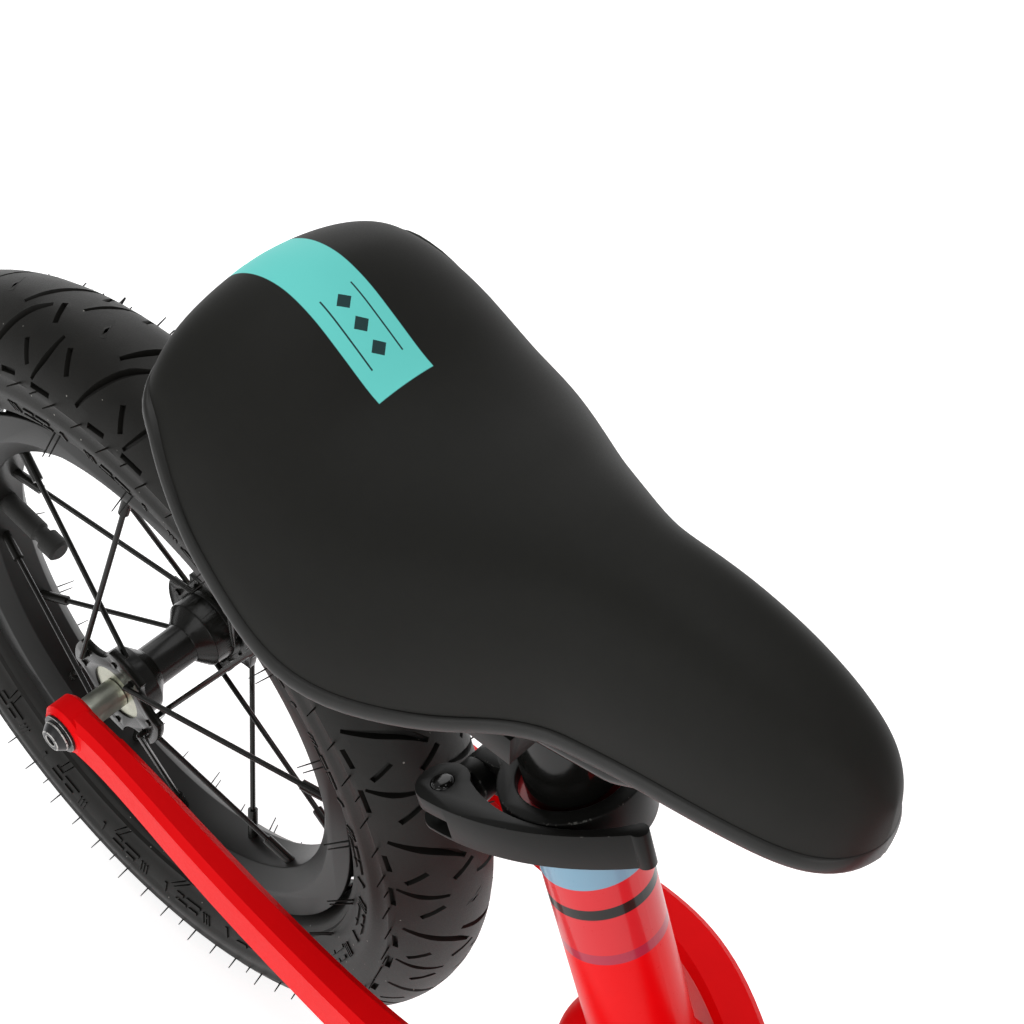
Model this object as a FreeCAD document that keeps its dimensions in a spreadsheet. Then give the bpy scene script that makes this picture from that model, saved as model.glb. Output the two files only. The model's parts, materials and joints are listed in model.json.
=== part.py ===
# Child's balance bike with 12-inch wheels.
# Frame of reference: X forward, Y to the rider's left, Z up, millimetres.
# The origin lies on the ground, midway between the two tyres.
import FreeCAD, Part
import math
import os
import Sketcher

V = FreeCAD.Vector
Rotation = FreeCAD.Rotation
Placement = FreeCAD.Placement

doc = FreeCAD.newDocument("balance_bike")
sheet = doc.addObject("Spreadsheet::Sheet", "Sizes")

SIZES = [
    # overall
    ("wheelbase", 560, "rear axle to front axle"),
    ("tyre_diameter", 300, "tyre outer diameter"),
    ("tyre_width", 46, "tyre section width"),
    ("tyre_wall", 3, "tyre carcass thickness"),
    ("seat_angle", 70.6, "seat tube angle to the ground, degrees"),
    ("seat_ahead", 222, "seat tube axis ahead of the rear axle, at axle height"),
    ("head_angle", 68, "steering axis angle to the ground, degrees"),
    ("fork_rake", 30, "front axle ahead of the steering axis"),
    # wheels
    ("tyre_height", 44.5, "tread above the edges of the rim flanges"),
    ("rim_depth", 17.5, "rim flange edge above the rim bed, where the nipples sit"),
    ("rim_width", 25, "rim outer width"),
    ("rim_wall", 2.5, "rim flange thickness"),
    ("rim_bed_width", 14, "flat inner width of the rim"),
    ("hub_flange_diameter", 44, "hub flange outer diameter"),
    ("hub_flange_out", 23.3, "hub centre to the outer face of a flange"),
    ("hub_flange_thick", 3, "hub flange thickness"),
    ("hub_barrel_diameter", 15.4, "hub barrel diameter at the middle"),
    ("spoke_circle", 34, "diameter of the circle of spoke holes"),
    ("spoke_diameter", 2, "spoke wire diameter"),
    ("nipple_diameter", 3.8, "spoke nipple diameter"),
    ("nipple_length", 12, "spoke nipple length below the rim bed"),
    ("valve_length", 30, "valve length below the rim bed"),
    ("bearing_diameter", 22, "wheel bearing outer diameter"),
    ("bearing_width", 7, "wheel bearing width"),
    ("axle_diameter", 8, "axle rod diameter"),
    ("spacer_diameter", 11, "axle spacer outer diameter"),
    ("dropout_gap", 74, "distance between the dropouts' inner faces"),
    ("dropout_thick", 10.5, "dropout thickness"),
    ("dropout_radius", 10, "radius of a dropout's rounded end"),
    ("axle_bolt_diameter", 5, "axle bolt thread diameter"),
    ("bolt_head_diameter", 12, "axle bolt head diameter"),
    ("bolt_head_height", 4, "axle bolt head height"),
    ("washer_diameter", 15, "axle washer diameter"),
    ("washer_thick", 1.2, "axle washer thickness"),
    # frame tubes
    ("seat_tube_wall", 2.25, "seat tube wall"),
    ("seat_tube_top", 108.7, "seat tube rim above axle height, along the tube"),
    ("seat_slot_width", 2.4, "width of the clamping slot in the seat tube"),
    ("seat_slot_length", 26, "length of the clamping slot in the seat tube"),
    ("main_tube_diameter", 44, "main tube outer diameter"),
    ("main_tube_wall", 2, "main tube wall"),
    ("main_tube_drop", 14, "main tube axis below the axles at the seat tube"),
    ("main_tube_bend", 150, "bend radius of the main tube"),
    ("main_tube_start", 8, "main tube's rear end behind the seat tube axis"),
    ("main_tube_level", 7, "straight level run of the main tube before its bend"),
    ("head_tube_diameter", 44, "head tube outer diameter"),
    ("head_tube_bore", 36.8, "head tube bore, the seat of the headset cups"),
    ("head_tube_length", 90, "head tube length"),
    # seat clamp
    ("collar_wall", 5.5, "clamp collar wall"),
    ("collar_low", 97, "clamp collar lower face, along the seat tube"),
    ("collar_height", 15, "clamp collar height"),
    ("ear_reach", 29, "clamp bolt behind the seat tube axis"),
    ("ear_half_width", 9, "outer face of a clamp ear from the middle"),
    ("skewer_diameter", 5, "clamp bolt diameter"),
    ("lever_pin_out", 22.4, "lever pin axis to the right of the middle"),
    ("lever_pin_diameter", 7, "lever pin diameter"),
    ("lever_head_radius", 8, "cam head radius of the lever"),
    ("lever_height", 12, "lever height along the seat tube"),
    # seatpost and saddle
    ("post_diameter", 27.2, "seatpost diameter"),
    ("post_wall", 2.2, "seatpost wall"),
    ("post_low", 32, "seatpost lower end, along the seat tube"),
    ("post_top", 149, "seatpost upper end, along the seat tube"),
    ("rail_diameter", 7, "saddle rail diameter"),
    ("rail_spacing", 44, "distance between the saddle rails at the clamp"),
    ("rail_height", 150, "saddle rails above axle height"),
    ("base_thick", 5, "saddle base thickness"),
    # fork and steering
    ("steerer_diameter", 28.6, "steerer tube diameter"),
    ("steerer_wall", 2.2, "steerer tube wall"),
    ("crown_diameter", 40, "fork crown diameter"),
    ("crown_gap", 10, "fork crown above the tyre"),
    ("crown_height", 30, "fork crown height"),
    ("fork_leg_diameter", 22, "fork leg diameter"),
    ("cup_diameter", 46, "headset cup outer diameter"),
    ("cup_height", 10.7, "headset cup height"),
    ("cap_thick", 5, "headset top cap thickness"),
    ("stem_height", 34, "stem clamp height on the steerer"),
    ("stem_wall", 5, "stem clamp wall"),
    ("stem_reach", 42, "handlebar axis ahead of the steering axis"),
    ("bar_diameter", 22.2, "handlebar diameter"),
    ("bar_wall", 1.8, "handlebar wall"),
    ("bar_half_width", 200, "handlebar half width"),
    ("bar_rise", 52, "handlebar rise"),
    ("bar_clamp_width", 44, "width of the stem's handlebar clamp"),
    ("grip_length", 88, "grip length over the bar"),
    ("grip_wall", 4.5, "grip wall thickness"),
    ("running_gap", 0.3, "clearance between parts that move past each other"),
    ("fit_gap", 0.05, "radial clearance of a running or sliding fit"),
]
for row, (alias, value, note) in enumerate(SIZES, start=1):
    sheet.set(f"A{row}", note)
    sheet.set(f"B{row}", str(value))
    sheet.setAlias(f"B{row}", alias)
doc.recompute()

nodes = {}

# Sizes that follow from others, as expressions in the sheet's names.
RIM_EDGE = "(tyre_diameter / 2 - tyre_height)"
RIM_BED = "(tyre_diameter / 2 - tyre_height - rim_depth)"
SEAT_TUBE = "(post_diameter / 2 + fit_gap + seat_tube_wall)"
CROWN_LOW = "(tyre_diameter / 2 + crown_gap)"
CROWN_TOP = f"({CROWN_LOW} + crown_height)"
HEAD_START = f"({CROWN_TOP} + running_gap + cup_height)"
HEAD_TOP = f"({HEAD_START} + head_tube_length)"


# ---------------------------------------------------------------- helpers
def size(expression):
    """Value of an expression in the sheet's names, in millimetres or degrees."""
    return float(sheet.evalExpression(str(expression)))


def bound(expression):
    """The same expression as another object of the document sees it."""
    words = sorted((alias for alias, _, _ in SIZES), key=len, reverse=True)
    text = str(expression)
    for place, word in enumerate(words):
        text = text.replace(word, f"<<{place}>>")
    for place, word in enumerate(words):
        text = text.replace(f"<<{place}>>", f"Sizes.{word}")
    return text


def keep(label, thing):
    """Name a finished sub-part."""
    thing.Label = label
    nodes[label] = thing
    return thing


def sketch_on(body, role, name, lift="0"):
    """Sketch on one of the body's own planes, lifted along its normal."""
    plane = [item for item in body.Origin.OriginFeatures if item.Role == role][0]
    sketch = body.newObject("Sketcher::SketchObject", name)
    sketch.AttachmentSupport = [(plane, "")]
    sketch.MapMode = "FlatFace"
    sketch.setExpression(".AttachmentOffset.Base.z", bound(lift))
    return sketch


def draw_outline(sketch, corners):
    """Closed outline whose corners are tied to the sheet."""
    places = [(size(a), size(b)) for a, b in corners]
    count = len(places)
    for i in range(count):
        start = V(*places[i], 0)
        end = V(*places[(i + 1) % count], 0)
        sketch.addGeometry(Part.LineSegment(start, end))
    for i in range(count):
        sketch.addConstraint(Sketcher.Constraint("Coincident", i, 2, (i + 1) % count, 1))
    for i, corner in enumerate(corners):
        for kind, value, expression in zip(("DistanceX", "DistanceY"), places[i], corner):
            index = sketch.addConstraint(Sketcher.Constraint(kind, -1, 1, i, 1, value))
            sketch.renameConstraint(index, f"{kind}{i}")
            sketch.setExpression(f"Constraints.{kind}{i}", bound(expression))


def draw_circle(sketch, radius, across, up):
    """Circle tied to the sheet."""
    centre = V(size(across), size(up), 0)
    circle = sketch.addGeometry(Part.Circle(centre, V(0, 0, 1), size(radius)))
    rules = (("Radius", (circle, size(radius)), radius),
             ("DistanceX", (-1, 1, circle, 3, centre.x), across),
             ("DistanceY", (-1, 1, circle, 3, centre.y), up))
    for kind, numbers, expression in rules:
        index = sketch.addConstraint(Sketcher.Constraint(kind, *numbers))
        sketch.renameConstraint(index, f"{kind}{circle}")
        sketch.setExpression(f"Constraints.{kind}{circle}", bound(expression))


def turned(name, corners, placement):
    """Body turned about its local Z; corners are (radius, height)."""
    body = doc.addObject("PartDesign::Body", name)
    sketch = sketch_on(body, "XZ_Plane", name + "_profile")
    draw_outline(sketch, corners)
    turn = body.newObject("PartDesign::Revolution", name + "_turn")
    turn.Profile = sketch
    turn.ReferenceAxis = (sketch, ["V_Axis"])
    turn.Angle = 360
    body.Placement = placement
    return body


def ring(name, inner, outer, low, high, placement):
    """Plain turned ring or tube."""
    corners = [(inner, low), (outer, low), (outer, high), (inner, high)]
    return turned(name, corners, placement)


def rod(name, radius, length, placement):
    """Cylinder along its local Z."""
    solid = doc.addObject("Part::Cylinder", name)
    solid.setExpression("Radius", bound(radius))
    solid.setExpression("Height", bound(length))
    solid.Placement = placement
    return solid


def block(name, lengths, placement):
    """Box centred on its local X and Y, standing on Z = 0."""
    solid = doc.addObject("Part::Box", name)
    for side, expression in zip(("Length", "Width", "Height"), lengths):
        solid.setExpression(side, bound(expression))
    centring = Placement(V(-size(lengths[0]) / 2, -size(lengths[1]) / 2, 0), Rotation())
    solid.Placement = placement.multiply(centring)
    return solid


def bent_path(name, corners, radius):
    """Wire of straight runs joined by tangent arcs of one radius."""
    edges = []
    start = corners[0]
    for before, corner, after in zip(corners, corners[1:], corners[2:]):
        into = (corner - before).normalize()
        out = (after - corner).normalize()
        turn = into.getAngle(out)
        reach = radius * math.tan(turn / 2)
        arc_start = corner - into * reach
        arc_end = corner + out * reach
        inward = (out - into).normalize()
        middle = corner + inward * (radius / math.cos(turn / 2) - radius)
        edges.append(Part.LineSegment(start, arc_start).toShape())
        edges.append(Part.Arc(arc_start, middle, arc_end).toShape())
        start = arc_end
    edges.append(Part.LineSegment(start, corners[-1]).toShape())
    path = doc.addObject("Part::Feature", name)
    path.Shape = Part.Wire(edges)
    return path


def swept(name, corners, bend_radius, section_radius):
    """Round rod along a bent path."""
    path = bent_path(name + "_path", corners, bend_radius)
    section = doc.addObject("Part::Circle", name + "_section")
    section.setExpression("Radius", bound(section_radius))
    heading = corners[1] - corners[0]
    section.Placement = Placement(corners[0], Rotation(V(0, 0, 1), heading))
    sweep = doc.addObject("Part::Sweep", name)
    sweep.Sections = [section]
    sweep.Spine = (path, [])
    sweep.Solid = True
    return sweep


def cut(name, base, *tools):
    """Base less every tool."""
    for number, tool in enumerate(tools):
        less = doc.addObject("Part::Cut", f"{name}_{number}")
        less.Base = base
        less.Tool = tool
        base = less
    return base


def fuse(name, *solids):
    """One solid from several that overlap."""
    joined = doc.addObject("Part::MultiFuse", name)
    joined.Shapes = list(solids)
    return joined


def group(name, solids):
    """Several separate solids in one node."""
    compound = doc.addObject("Part::Compound", name)
    compound.Links = list(solids)
    return compound


# ---------------------------------------------------------------- places
axle_height = size("tyre_diameter / 2")
rear_axle = V(-size("wheelbase / 2"), 0, axle_height)
front_axle = V(size("wheelbase / 2"), 0, axle_height)

# A tilted tube's own frame: local Z runs up the tube, local X ahead of it.
seat_turn = Rotation(V(0, 1, 0), size("seat_angle") - 90)
steer_turn = Rotation(V(0, 1, 0), size("head_angle") - 90)
seat_foot = rear_axle + V(size("seat_ahead"), 0, 0)
steer_foot = front_axle - steer_turn.multVec(V(size("fork_rake"), 0, 0))

# A wheel's own frame: local Z runs to the rider's left, along the axle.
wheel_turn = Rotation(V(1, 0, 0), -90)


def on_seat(up, ahead=0, left=0):
    """Point given along the seat tube, ahead of it and to the left."""
    return seat_foot + seat_turn.multVec(V(ahead, left, up))


def on_steer(up, ahead=0, left=0):
    """Point given along the steering axis, ahead of it and to the left."""
    return steer_foot + steer_turn.multVec(V(ahead, left, up))


seat_place = Placement(seat_foot, seat_turn)
steer_place = Placement(steer_foot, steer_turn)


# ---------------------------------------------------------------- wheels
def tyre(end, place):
    """Pneumatic tyre: a hollow ring, open towards the rim."""
    major = "(tyre_diameter - tyre_width) / 2"
    carcass = doc.addObject("Part::Torus", f"tyre_{end}_carcass")
    hollow = doc.addObject("Part::Torus", f"tyre_{end}_hollow")
    for torus, minor in ((carcass, "tyre_width / 2"), (hollow, "tyre_width / 2 - tyre_wall")):
        torus.setExpression("Radius1", bound(major))
        torus.setExpression("Radius2", bound(minor))
        torus.Placement = place
    mouth = rod(f"tyre_{end}_mouth", f"{RIM_EDGE} + running_gap", "tyre_width",
                place.multiply(Placement(V(0, 0, -size("tyre_width / 2")), Rotation())))
    keep(f"tyre_{end}", cut(f"tyre_{end}", carcass, hollow, mouth))
    tube = doc.addObject("Part::Torus", f"inner_tube_{end}")
    tube.setExpression("Radius1", bound(major))
    tube.setExpression("Radius2", bound("tyre_width / 2 - tyre_wall - running_gap"))
    tube.Placement = place
    keep(f"inner_tube_{end}", tube)


def rim(end, place):
    """Single-wall alloy rim with two upright flanges."""
    side, flat = "rim_width / 2", "rim_bed_width / 2"
    knee, floor = f"{RIM_BED} + 0.4 * rim_depth", f"{RIM_BED} + 6.5"
    half = [(RIM_BED, flat), (knee, side), (RIM_EDGE, side), (RIM_EDGE, f"{side} - rim_wall"),
            (f"{knee} + 3", f"{side} - rim_wall - 0.5"), (floor, f"{flat} - 2")]
    mirrored = [(radius, f"-({across})") for radius, across in reversed(half)]
    keep(f"rim_{end}", turned(f"rim_{end}", half + mirrored, place))


def hub(end, place):
    """Hub shell: bell-ended barrel and two scalloped flanges with paired spoke holes."""
    out, thick = "hub_flange_out", "hub_flange_thick"
    inner_face = f"{out} - {thick}"
    seat, core = "bearing_diameter / 2", "bearing_diameter / 2 - 5"
    barrel, edge = "hub_barrel_diameter / 2", "hub_flange_diameter / 2"
    seat_depth = f"{out} - 0.7 - bearing_width"
    half = [(core, seat_depth), (seat, seat_depth), (seat, out), (edge, out), (edge, inner_face),
            (f"{seat} + 2.5", inner_face), (f"{seat} + 2", "13"), (barrel, "8")]
    mirrored = [(radius, f"-({height})") for radius, height in reversed(half)]
    name = f"hub_shell_{end}"
    body = turned(name, half + mirrored, place)
    doc.recompute()
    for number, (lift, twist) in enumerate(((out, 0), (f"-({inner_face})", 22.5))):
        sketch = sketch_on(body, "XY_Plane", f"{name}_holes_{number}", lift)
        for turn in (twist - 15, twist + 15):
            across = f"spoke_circle / 2 * cos({turn})"
            up = f"spoke_circle / 2 * sin({turn})"
            draw_circle(sketch, "spoke_diameter / 2 + 0.35", across, up)
        scallop = twist + 45
        draw_circle(sketch, "hub_flange_diameter / 4",
                    f"(hub_flange_diameter / 2 + 5) * cos({scallop})",
                    f"(hub_flange_diameter / 2 + 5) * sin({scallop})")
        pocket = body.newObject("PartDesign::Pocket", f"{name}_pocket_{number}")
        pocket.Profile = sketch
        pocket.setExpression("Length", bound(thick))
        doc.recompute()
        pattern = body.newObject("PartDesign::PolarPattern", f"{name}_pattern_{number}")
        pattern.Originals = [pocket]
        pattern.Axis = (sketch, ["N_Axis"])
        pattern.Angle = 360
        pattern.Occurrences = 4
        body.Tip = pattern
        doc.recompute()
    keep(name, body)


def bearings(end, place):
    """Pair of sealed bearings, one in each end of the hub shell."""
    pair = []
    for number, side in enumerate((1, -1)):
        out = size("hub_flange_out - 0.7 - bearing_width / 2") * side
        spot = place.multiply(Placement(V(0, 0, out), Rotation()))
        pair.append(ring(f"bearing_{end}_{number}", "axle_diameter / 2 + fit_gap",
                         "bearing_diameter / 2", "-bearing_width / 2", "bearing_width / 2", spot))
    keep(f"bearings_{end}", group(f"bearings_{end}", pair))


def spoke_ends():
    """Head, elbow and rim end of each spoke in the wheel's own frame.

    Of each pair, one spoke leaves the flange on its outer face and one on its inner face,
    so that they pass each other where they cross.
    """
    hub_radius = size("spoke_circle / 2")
    rim_radius = size(RIM_BED)
    stand_off = size("spoke_diameter / 2 + 1.4")
    outside = size("hub_flange_out")
    inside = size("hub_flange_out - hub_flange_thick")
    for side, twist in ((1, 0), (-1, 22.5)):
        for quarter in range(4):
            for lean in (-1, 1):
                at_hub = math.radians(90 * quarter + twist + 15 * lean)
                at_rim = math.radians(90 * quarter + twist + 67.5 * lean)
                hub_x, hub_y = hub_radius * math.cos(at_hub), hub_radius * math.sin(at_hub)
                rim_end = V(rim_radius * math.cos(at_rim), rim_radius * math.sin(at_rim), 3 * side)
                if lean > 0:
                    head, elbow = (inside - 0.6) * side, (outside + stand_off) * side
                else:
                    head, elbow = (outside + 0.6) * side, (inside - stand_off) * side
                yield V(hub_x, hub_y, head), V(hub_x, hub_y, elbow), rim_end


def spokes(end, place):
    """Sixteen crossed spokes with bent heads, and a nipple on each at the rim."""
    wire_radius, nipple_radius = size("spoke_diameter / 2"), size("nipple_diameter / 2")
    wires, nipples = [], []
    for head, elbow, rim_end in spoke_ends():
        along = (rim_end - elbow).normalize()
        straight = Part.makeCylinder(wire_radius, (rim_end - elbow).Length, elbow, along)
        bent = Part.makeCylinder(wire_radius, (elbow - head).Length, head, elbow - head)
        knuckle = Part.makeSphere(wire_radius, elbow)
        wires.append(straight.multiFuse([bent, knuckle]))
        low = rim_end - along * size("nipple_length")
        nipples.append(Part.makeCylinder(nipple_radius, size("nipple_length + 3"), low, along))
    for name, solids in ((f"spokes_{end}", wires), (f"nipples_{end}", nipples)):
        feature = doc.addObject("Part::Feature", name)
        feature.Shape = Part.makeCompound(solids)
        feature.Placement = place
        keep(name, feature)


def valve(end, place):
    """Tyre valve, standing in from the rim bed, with its cap."""
    toward_hub = Rotation(V(0, 0, 1), V(math.cos(math.radians(191.25)),
                                        math.sin(math.radians(191.25)), 0))
    at_rim = toward_hub.multVec(V(0, 0, size(f"{RIM_BED} + 8")))
    spot = place.multiply(Placement(at_rim, toward_hub.multiply(Rotation(V(1, 0, 0), 180))))
    corners = [("0", "0"), ("4", "0"), ("4", "valve_length - 4"), ("3.2", "valve_length - 3"),
               ("3.2", "valve_length"), ("4.6", "valve_length + 0.5"),
               ("4.6", "valve_length + 7"), ("3.4", "valve_length + 8"), ("0", "valve_length + 8")]
    keep(f"valve_{end}", turned(f"valve_{end}", corners, spot))


def axle(end, place):
    """Axle rod with a spacer, washer and bolt on each side."""
    half = "dropout_gap / 2"
    thread = "axle_bolt_diameter / 2"
    keep(f"axle_{end}", ring(f"axle_{end}", f"{thread} + fit_gap", "axle_diameter / 2",
                             f"-{half}", half, place))
    spacers, washers, bolts = [], [], []
    for number, angle in enumerate((0, 180)):
        side = place.multiply(Placement(V(0, 0, 0), Rotation(V(1, 0, 0), angle)))
        inner_end = "hub_flange_out - 0.7 + running_gap"
        outer_face = f"{half} + dropout_thick"
        seat = f"{outer_face} + washer_thick"
        head = "bolt_head_diameter / 2"
        spacers.append(ring(f"spacer_{end}_{number}", "axle_diameter / 2 + fit_gap",
                            "spacer_diameter / 2", inner_end, half, side))
        washers.append(ring(f"washer_{end}_{number}", f"{thread} + 0.3", "washer_diameter / 2",
                            outer_face, seat, side))
        socket = "axle_bolt_diameter / 2 - 0.4"
        shape = [("0", "16"), (thread, "16"), (thread, seat), (head, seat),
                 (head, f"{seat} + 1.2"), (f"{head} - 2", f"{seat} + bolt_head_height"),
                 (socket, f"{seat} + bolt_head_height"), (socket, f"{seat} + 1.5"),
                 ("0", f"{seat} + 1.5")]
        bolts.append(turned(f"bolt_{end}_{number}", shape, side))
    keep(f"axle_spacers_{end}", group(f"axle_spacers_{end}", spacers))
    keep(f"axle_washers_{end}", group(f"axle_washers_{end}", washers))
    keep(f"axle_bolts_{end}", group(f"axle_bolts_{end}", bolts))


for end, centre in (("rear", rear_axle), ("front", front_axle)):
    place = Placement(centre, wheel_turn)
    tyre(end, place)
    rim(end, place)
    hub(end, place)
    bearings(end, place)
    spokes(end, place)
    valve(end, place)
    axle(end, place)

# ---------------------------------------------------------------- frame tubes
# The main tube starts under the seat tube, runs level, then climbs to the head tube.
main_start = rear_axle + V(size("seat_ahead - main_tube_start"), 0, -size("main_tube_drop"))
main_end = on_steer(size(f"{HEAD_START} + head_tube_length / 2 + 4.7"))
main_bend, level = size("main_tube_bend"), size("main_tube_level")
bend_centre = main_start + V(level, 0, main_bend)
to_end = main_end - bend_centre
climb = math.atan2(to_end.z, to_end.x) + math.asin(main_bend / to_end.Length)
main_corner = main_start + V(level + main_bend * math.tan(climb / 2), 0, 0)
main_corners = [main_start, main_corner, main_end]

head_bulk = rod("head_bulk", "head_tube_diameter / 2", "head_tube_length",
                Placement(on_steer(size(HEAD_START)), steer_turn))
main_outside = swept("main_outside", main_corners, main_bend, "main_tube_diameter / 2")
main_cap = doc.addObject("Part::Sphere", "main_cap")
main_cap.setExpression("Radius", bound("main_tube_diameter / 2"))
main_cap.Placement = Placement(main_start, Rotation())
main_bore = swept("main_bore", main_corners, main_bend,
                  "main_tube_diameter / 2 - main_tube_wall")
main_bulk = fuse("main_bulk", main_outside, main_cap)
cup_room = [rod(f"cup_room_{number}", "cup_diameter / 2 + running_gap", "3 * cup_height",
                Placement(on_steer(size(foot)), steer_turn))
            for number, foot in enumerate((f"{HEAD_START} - 3 * cup_height", HEAD_TOP))]
keep("main_tube", cut("main_tube", main_bulk, main_bore, head_bulk, *cup_room))

keep("head_tube", ring("head_tube", "head_tube_bore / 2", "head_tube_diameter / 2",
                       HEAD_START, HEAD_TOP, steer_place))

seat_bulk = ring("seat_bulk", "post_diameter / 2 + fit_gap", SEAT_TUBE,
                 "-main_tube_drop", "seat_tube_top", seat_place)
slot_low = size("seat_tube_top - seat_slot_length")
seat_slot = block("seat_slot", (f"2 * {SEAT_TUBE}", "seat_slot_width", "seat_slot_length + 2"),
                  Placement(on_seat(slot_low, -size(SEAT_TUBE)), seat_turn))
keep("seat_tube", cut("seat_tube", seat_bulk, main_bulk, seat_slot))

# Stays: (ahead of the rear axle, outside the dropout's middle, above the axle, width, height).
# They spread past the tyre, dip, then close in on the main tube.
STAY_SECTIONS = [
    (0, 0, 0.5, 10.5, 19),
    (50, 1, -8, 11, 20.5),
    (100, 3.2, -16.5, 11.6, 22),
    (145, 4.2, -21.5, 12.4, 23.5),
    (184, 3.8, -20, 14.5, 26),
    (206, -0.2, -17.5, 16, 27),
    (226, -8.8, -15.5, 17.5, 27),
    (246, -21.2, -15, 18, 26),
    (264, -34.2, -15, 18, 24),
]
STAY_EDGE = 2.5


def stay(label, side):
    """Box-section stay with chamfered edges and a rounded dropout end."""
    body = doc.addObject("PartDesign::Body", label + "_blade")
    sketches = []
    middle = f"{side} * (dropout_gap + dropout_thick) / 2"
    for number, (ahead, beyond, above, width, height) in enumerate(STAY_SECTIONS):
        sketch = sketch_on(body, "YZ_Plane", f"{label}_section_{number}", str(ahead))
        half_wide, half_high = width / 2, height / 2
        flat_wide, flat_high = half_wide - STAY_EDGE, half_high - STAY_EDGE
        corners = [(-flat_wide, -half_high), (flat_wide, -half_high), (half_wide, -flat_high),
                   (half_wide, flat_high), (flat_wide, half_high), (-flat_wide, half_high),
                   (-half_wide, flat_high), (-half_wide, -flat_high)]
        outline = [(f"{middle} + {side * beyond + across}", above + up) for across, up in corners]
        draw_outline(sketch, outline)
        sketches.append(sketch)
    loft = body.newObject("PartDesign::AdditiveLoft", label + "_loft")
    loft.Profile = sketches[0]
    loft.Sections = sketches[1:]
    body.Placement = Placement(rear_axle, Rotation())
    outward = Placement(rear_axle, Rotation(V(1, 0, 0), -90 * side))
    inner, outer = "dropout_gap / 2", "dropout_gap / 2 + dropout_thick"
    round_edge = [("0", inner), ("dropout_radius - 1.5", inner),
                  ("dropout_radius", f"{inner} + 1.5"), ("dropout_radius", f"{outer} - 1.5"),
                  ("dropout_radius - 1.5", outer), ("0", outer)]
    dropout = turned(label + "_dropout", round_edge, outward)
    hole = rod(label + "_hole", "axle_bolt_diameter / 2 + 0.25", "dropout_gap", outward)
    wheel_room = rod(label + "_wheel_room", "2 * dropout_radius", inner, outward)
    keep(label, cut(label, fuse(label + "_bulk", body, dropout), hole, wheel_room, main_bulk))


stay("stay_left", 1)
stay("stay_right", -1)

# ---------------------------------------------------------------- seat clamp
collar_in = f"{SEAT_TUBE} + fit_gap"
collar_out = f"{SEAT_TUBE} + collar_wall"
collar_mid = size("collar_low + collar_height / 2")
skewer_at = on_seat(collar_mid, -size("ear_reach"))
across_left = seat_turn.multiply(Rotation(V(1, 0, 0), -90))
across_right = seat_turn.multiply(Rotation(V(1, 0, 0), 90))

collar_bulk = rod("collar_bulk", collar_out, "collar_height",
                  Placement(on_seat(size("collar_low")), seat_turn))
ear_width = "2 * ear_half_width"
ears = block("ears", ("ear_reach", ear_width, "collar_height - 2"),
             Placement(on_seat(size("collar_low + 1"), -size("ear_reach / 2")), seat_turn))
ear_round = rod("ear_round", "collar_height / 2 - 1", ear_width,
                Placement(on_seat(collar_mid, -size("ear_reach"), -size("ear_half_width")),
                          across_left))
collar_bore = rod("collar_bore", collar_in, "collar_height + 2",
                  Placement(on_seat(size("collar_low - 1")), seat_turn))
collar_slit = block("collar_slit", ("2 * ear_reach", "4", "collar_height + 2"),
                    Placement(on_seat(size("collar_low - 1"), -size("ear_reach")), seat_turn))
skewer_hole = rod("skewer_hole", "skewer_diameter / 2 + fit_gap", "3 * ear_half_width",
                  Placement(skewer_at - V(0, size("1.5 * ear_half_width"), 0), across_left))
keep("clamp_collar", cut("clamp_collar", fuse("collar_blank", collar_bulk, ears, ear_round),
                         collar_bore, collar_slit, skewer_hole))

pin_out = "lever_pin_out"
skewer_place = Placement(skewer_at, across_right)
keep("clamp_skewer", turned("clamp_skewer", [
    ("0", "-ear_half_width - 3"), ("skewer_diameter / 2", "-ear_half_width - 3"),
    ("skewer_diameter / 2", f"{pin_out} - lever_pin_diameter / 2"),
    ("0", f"{pin_out} - lever_pin_diameter / 2")], skewer_place))
keep("clamp_nut", turned("clamp_nut", [
    ("skewer_diameter / 2", "-ear_half_width"), ("5.5", "-ear_half_width"),
    ("5.5", "-ear_half_width - 4"), ("3.5", "-ear_half_width - 6"), ("0", "-ear_half_width - 6"),
    ("0", "-ear_half_width - 3"), ("skewer_diameter / 2", "-ear_half_width - 3")], skewer_place))
keep("cam_washer", ring("cam_washer", "skewer_diameter / 2 + fit_gap", "collar_height / 2 - 1",
                        "ear_half_width", f"{pin_out} - lever_head_radius - running_gap",
                        skewer_place))

pin_place = Placement(on_seat(collar_mid + 2, -size("ear_reach"), -size("lever_pin_out")),
                      seat_turn)
pin_half, pin = "lever_height / 2", "lever_pin_diameter / 2"
keep("lever_pin", turned("lever_pin", [
    ("0", f"-{pin_half} - 0.8"), (f"{pin} - 1", f"-{pin_half} - 0.8"), (pin, f"-{pin_half}"),
    (pin, pin_half), (f"{pin} - 1", f"{pin_half} + 0.8"), ("0", f"{pin_half} + 1")], pin_place))

# The lever wraps round the collar from its cam head to a rounded tip, in the pin's own frame.
reach, out = size("ear_reach"), size("lever_pin_out")
head_radius = size("lever_head_radius")
wrap = size(collar_out) + 1
head_back = V(0, -head_radius, 0)
head_front = V(6.6, 4.5, 0)
outer_mid, outer_end = V(reach + 2, out - wrap - 4.2, 0), V(reach + 31.5, out - 11.5, 0)
tip_mid, tip_end = V(reach + 34.5, out - 7.5, 0), V(reach + 30.5, out - 6.5, 0)
inner_mid = V(reach, out - wrap, 0)
lever_outline = doc.addObject("Part::Feature", "lever_outline")
lever_outline.Shape = Part.Face(Part.Wire([
    Part.Arc(head_back, outer_mid, outer_end).toShape(),
    Part.Arc(outer_end, tip_mid, tip_end).toShape(),
    Part.Arc(tip_end, inner_mid, head_front).toShape(),
    Part.LineSegment(head_front, head_back).toShape()]))
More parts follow.
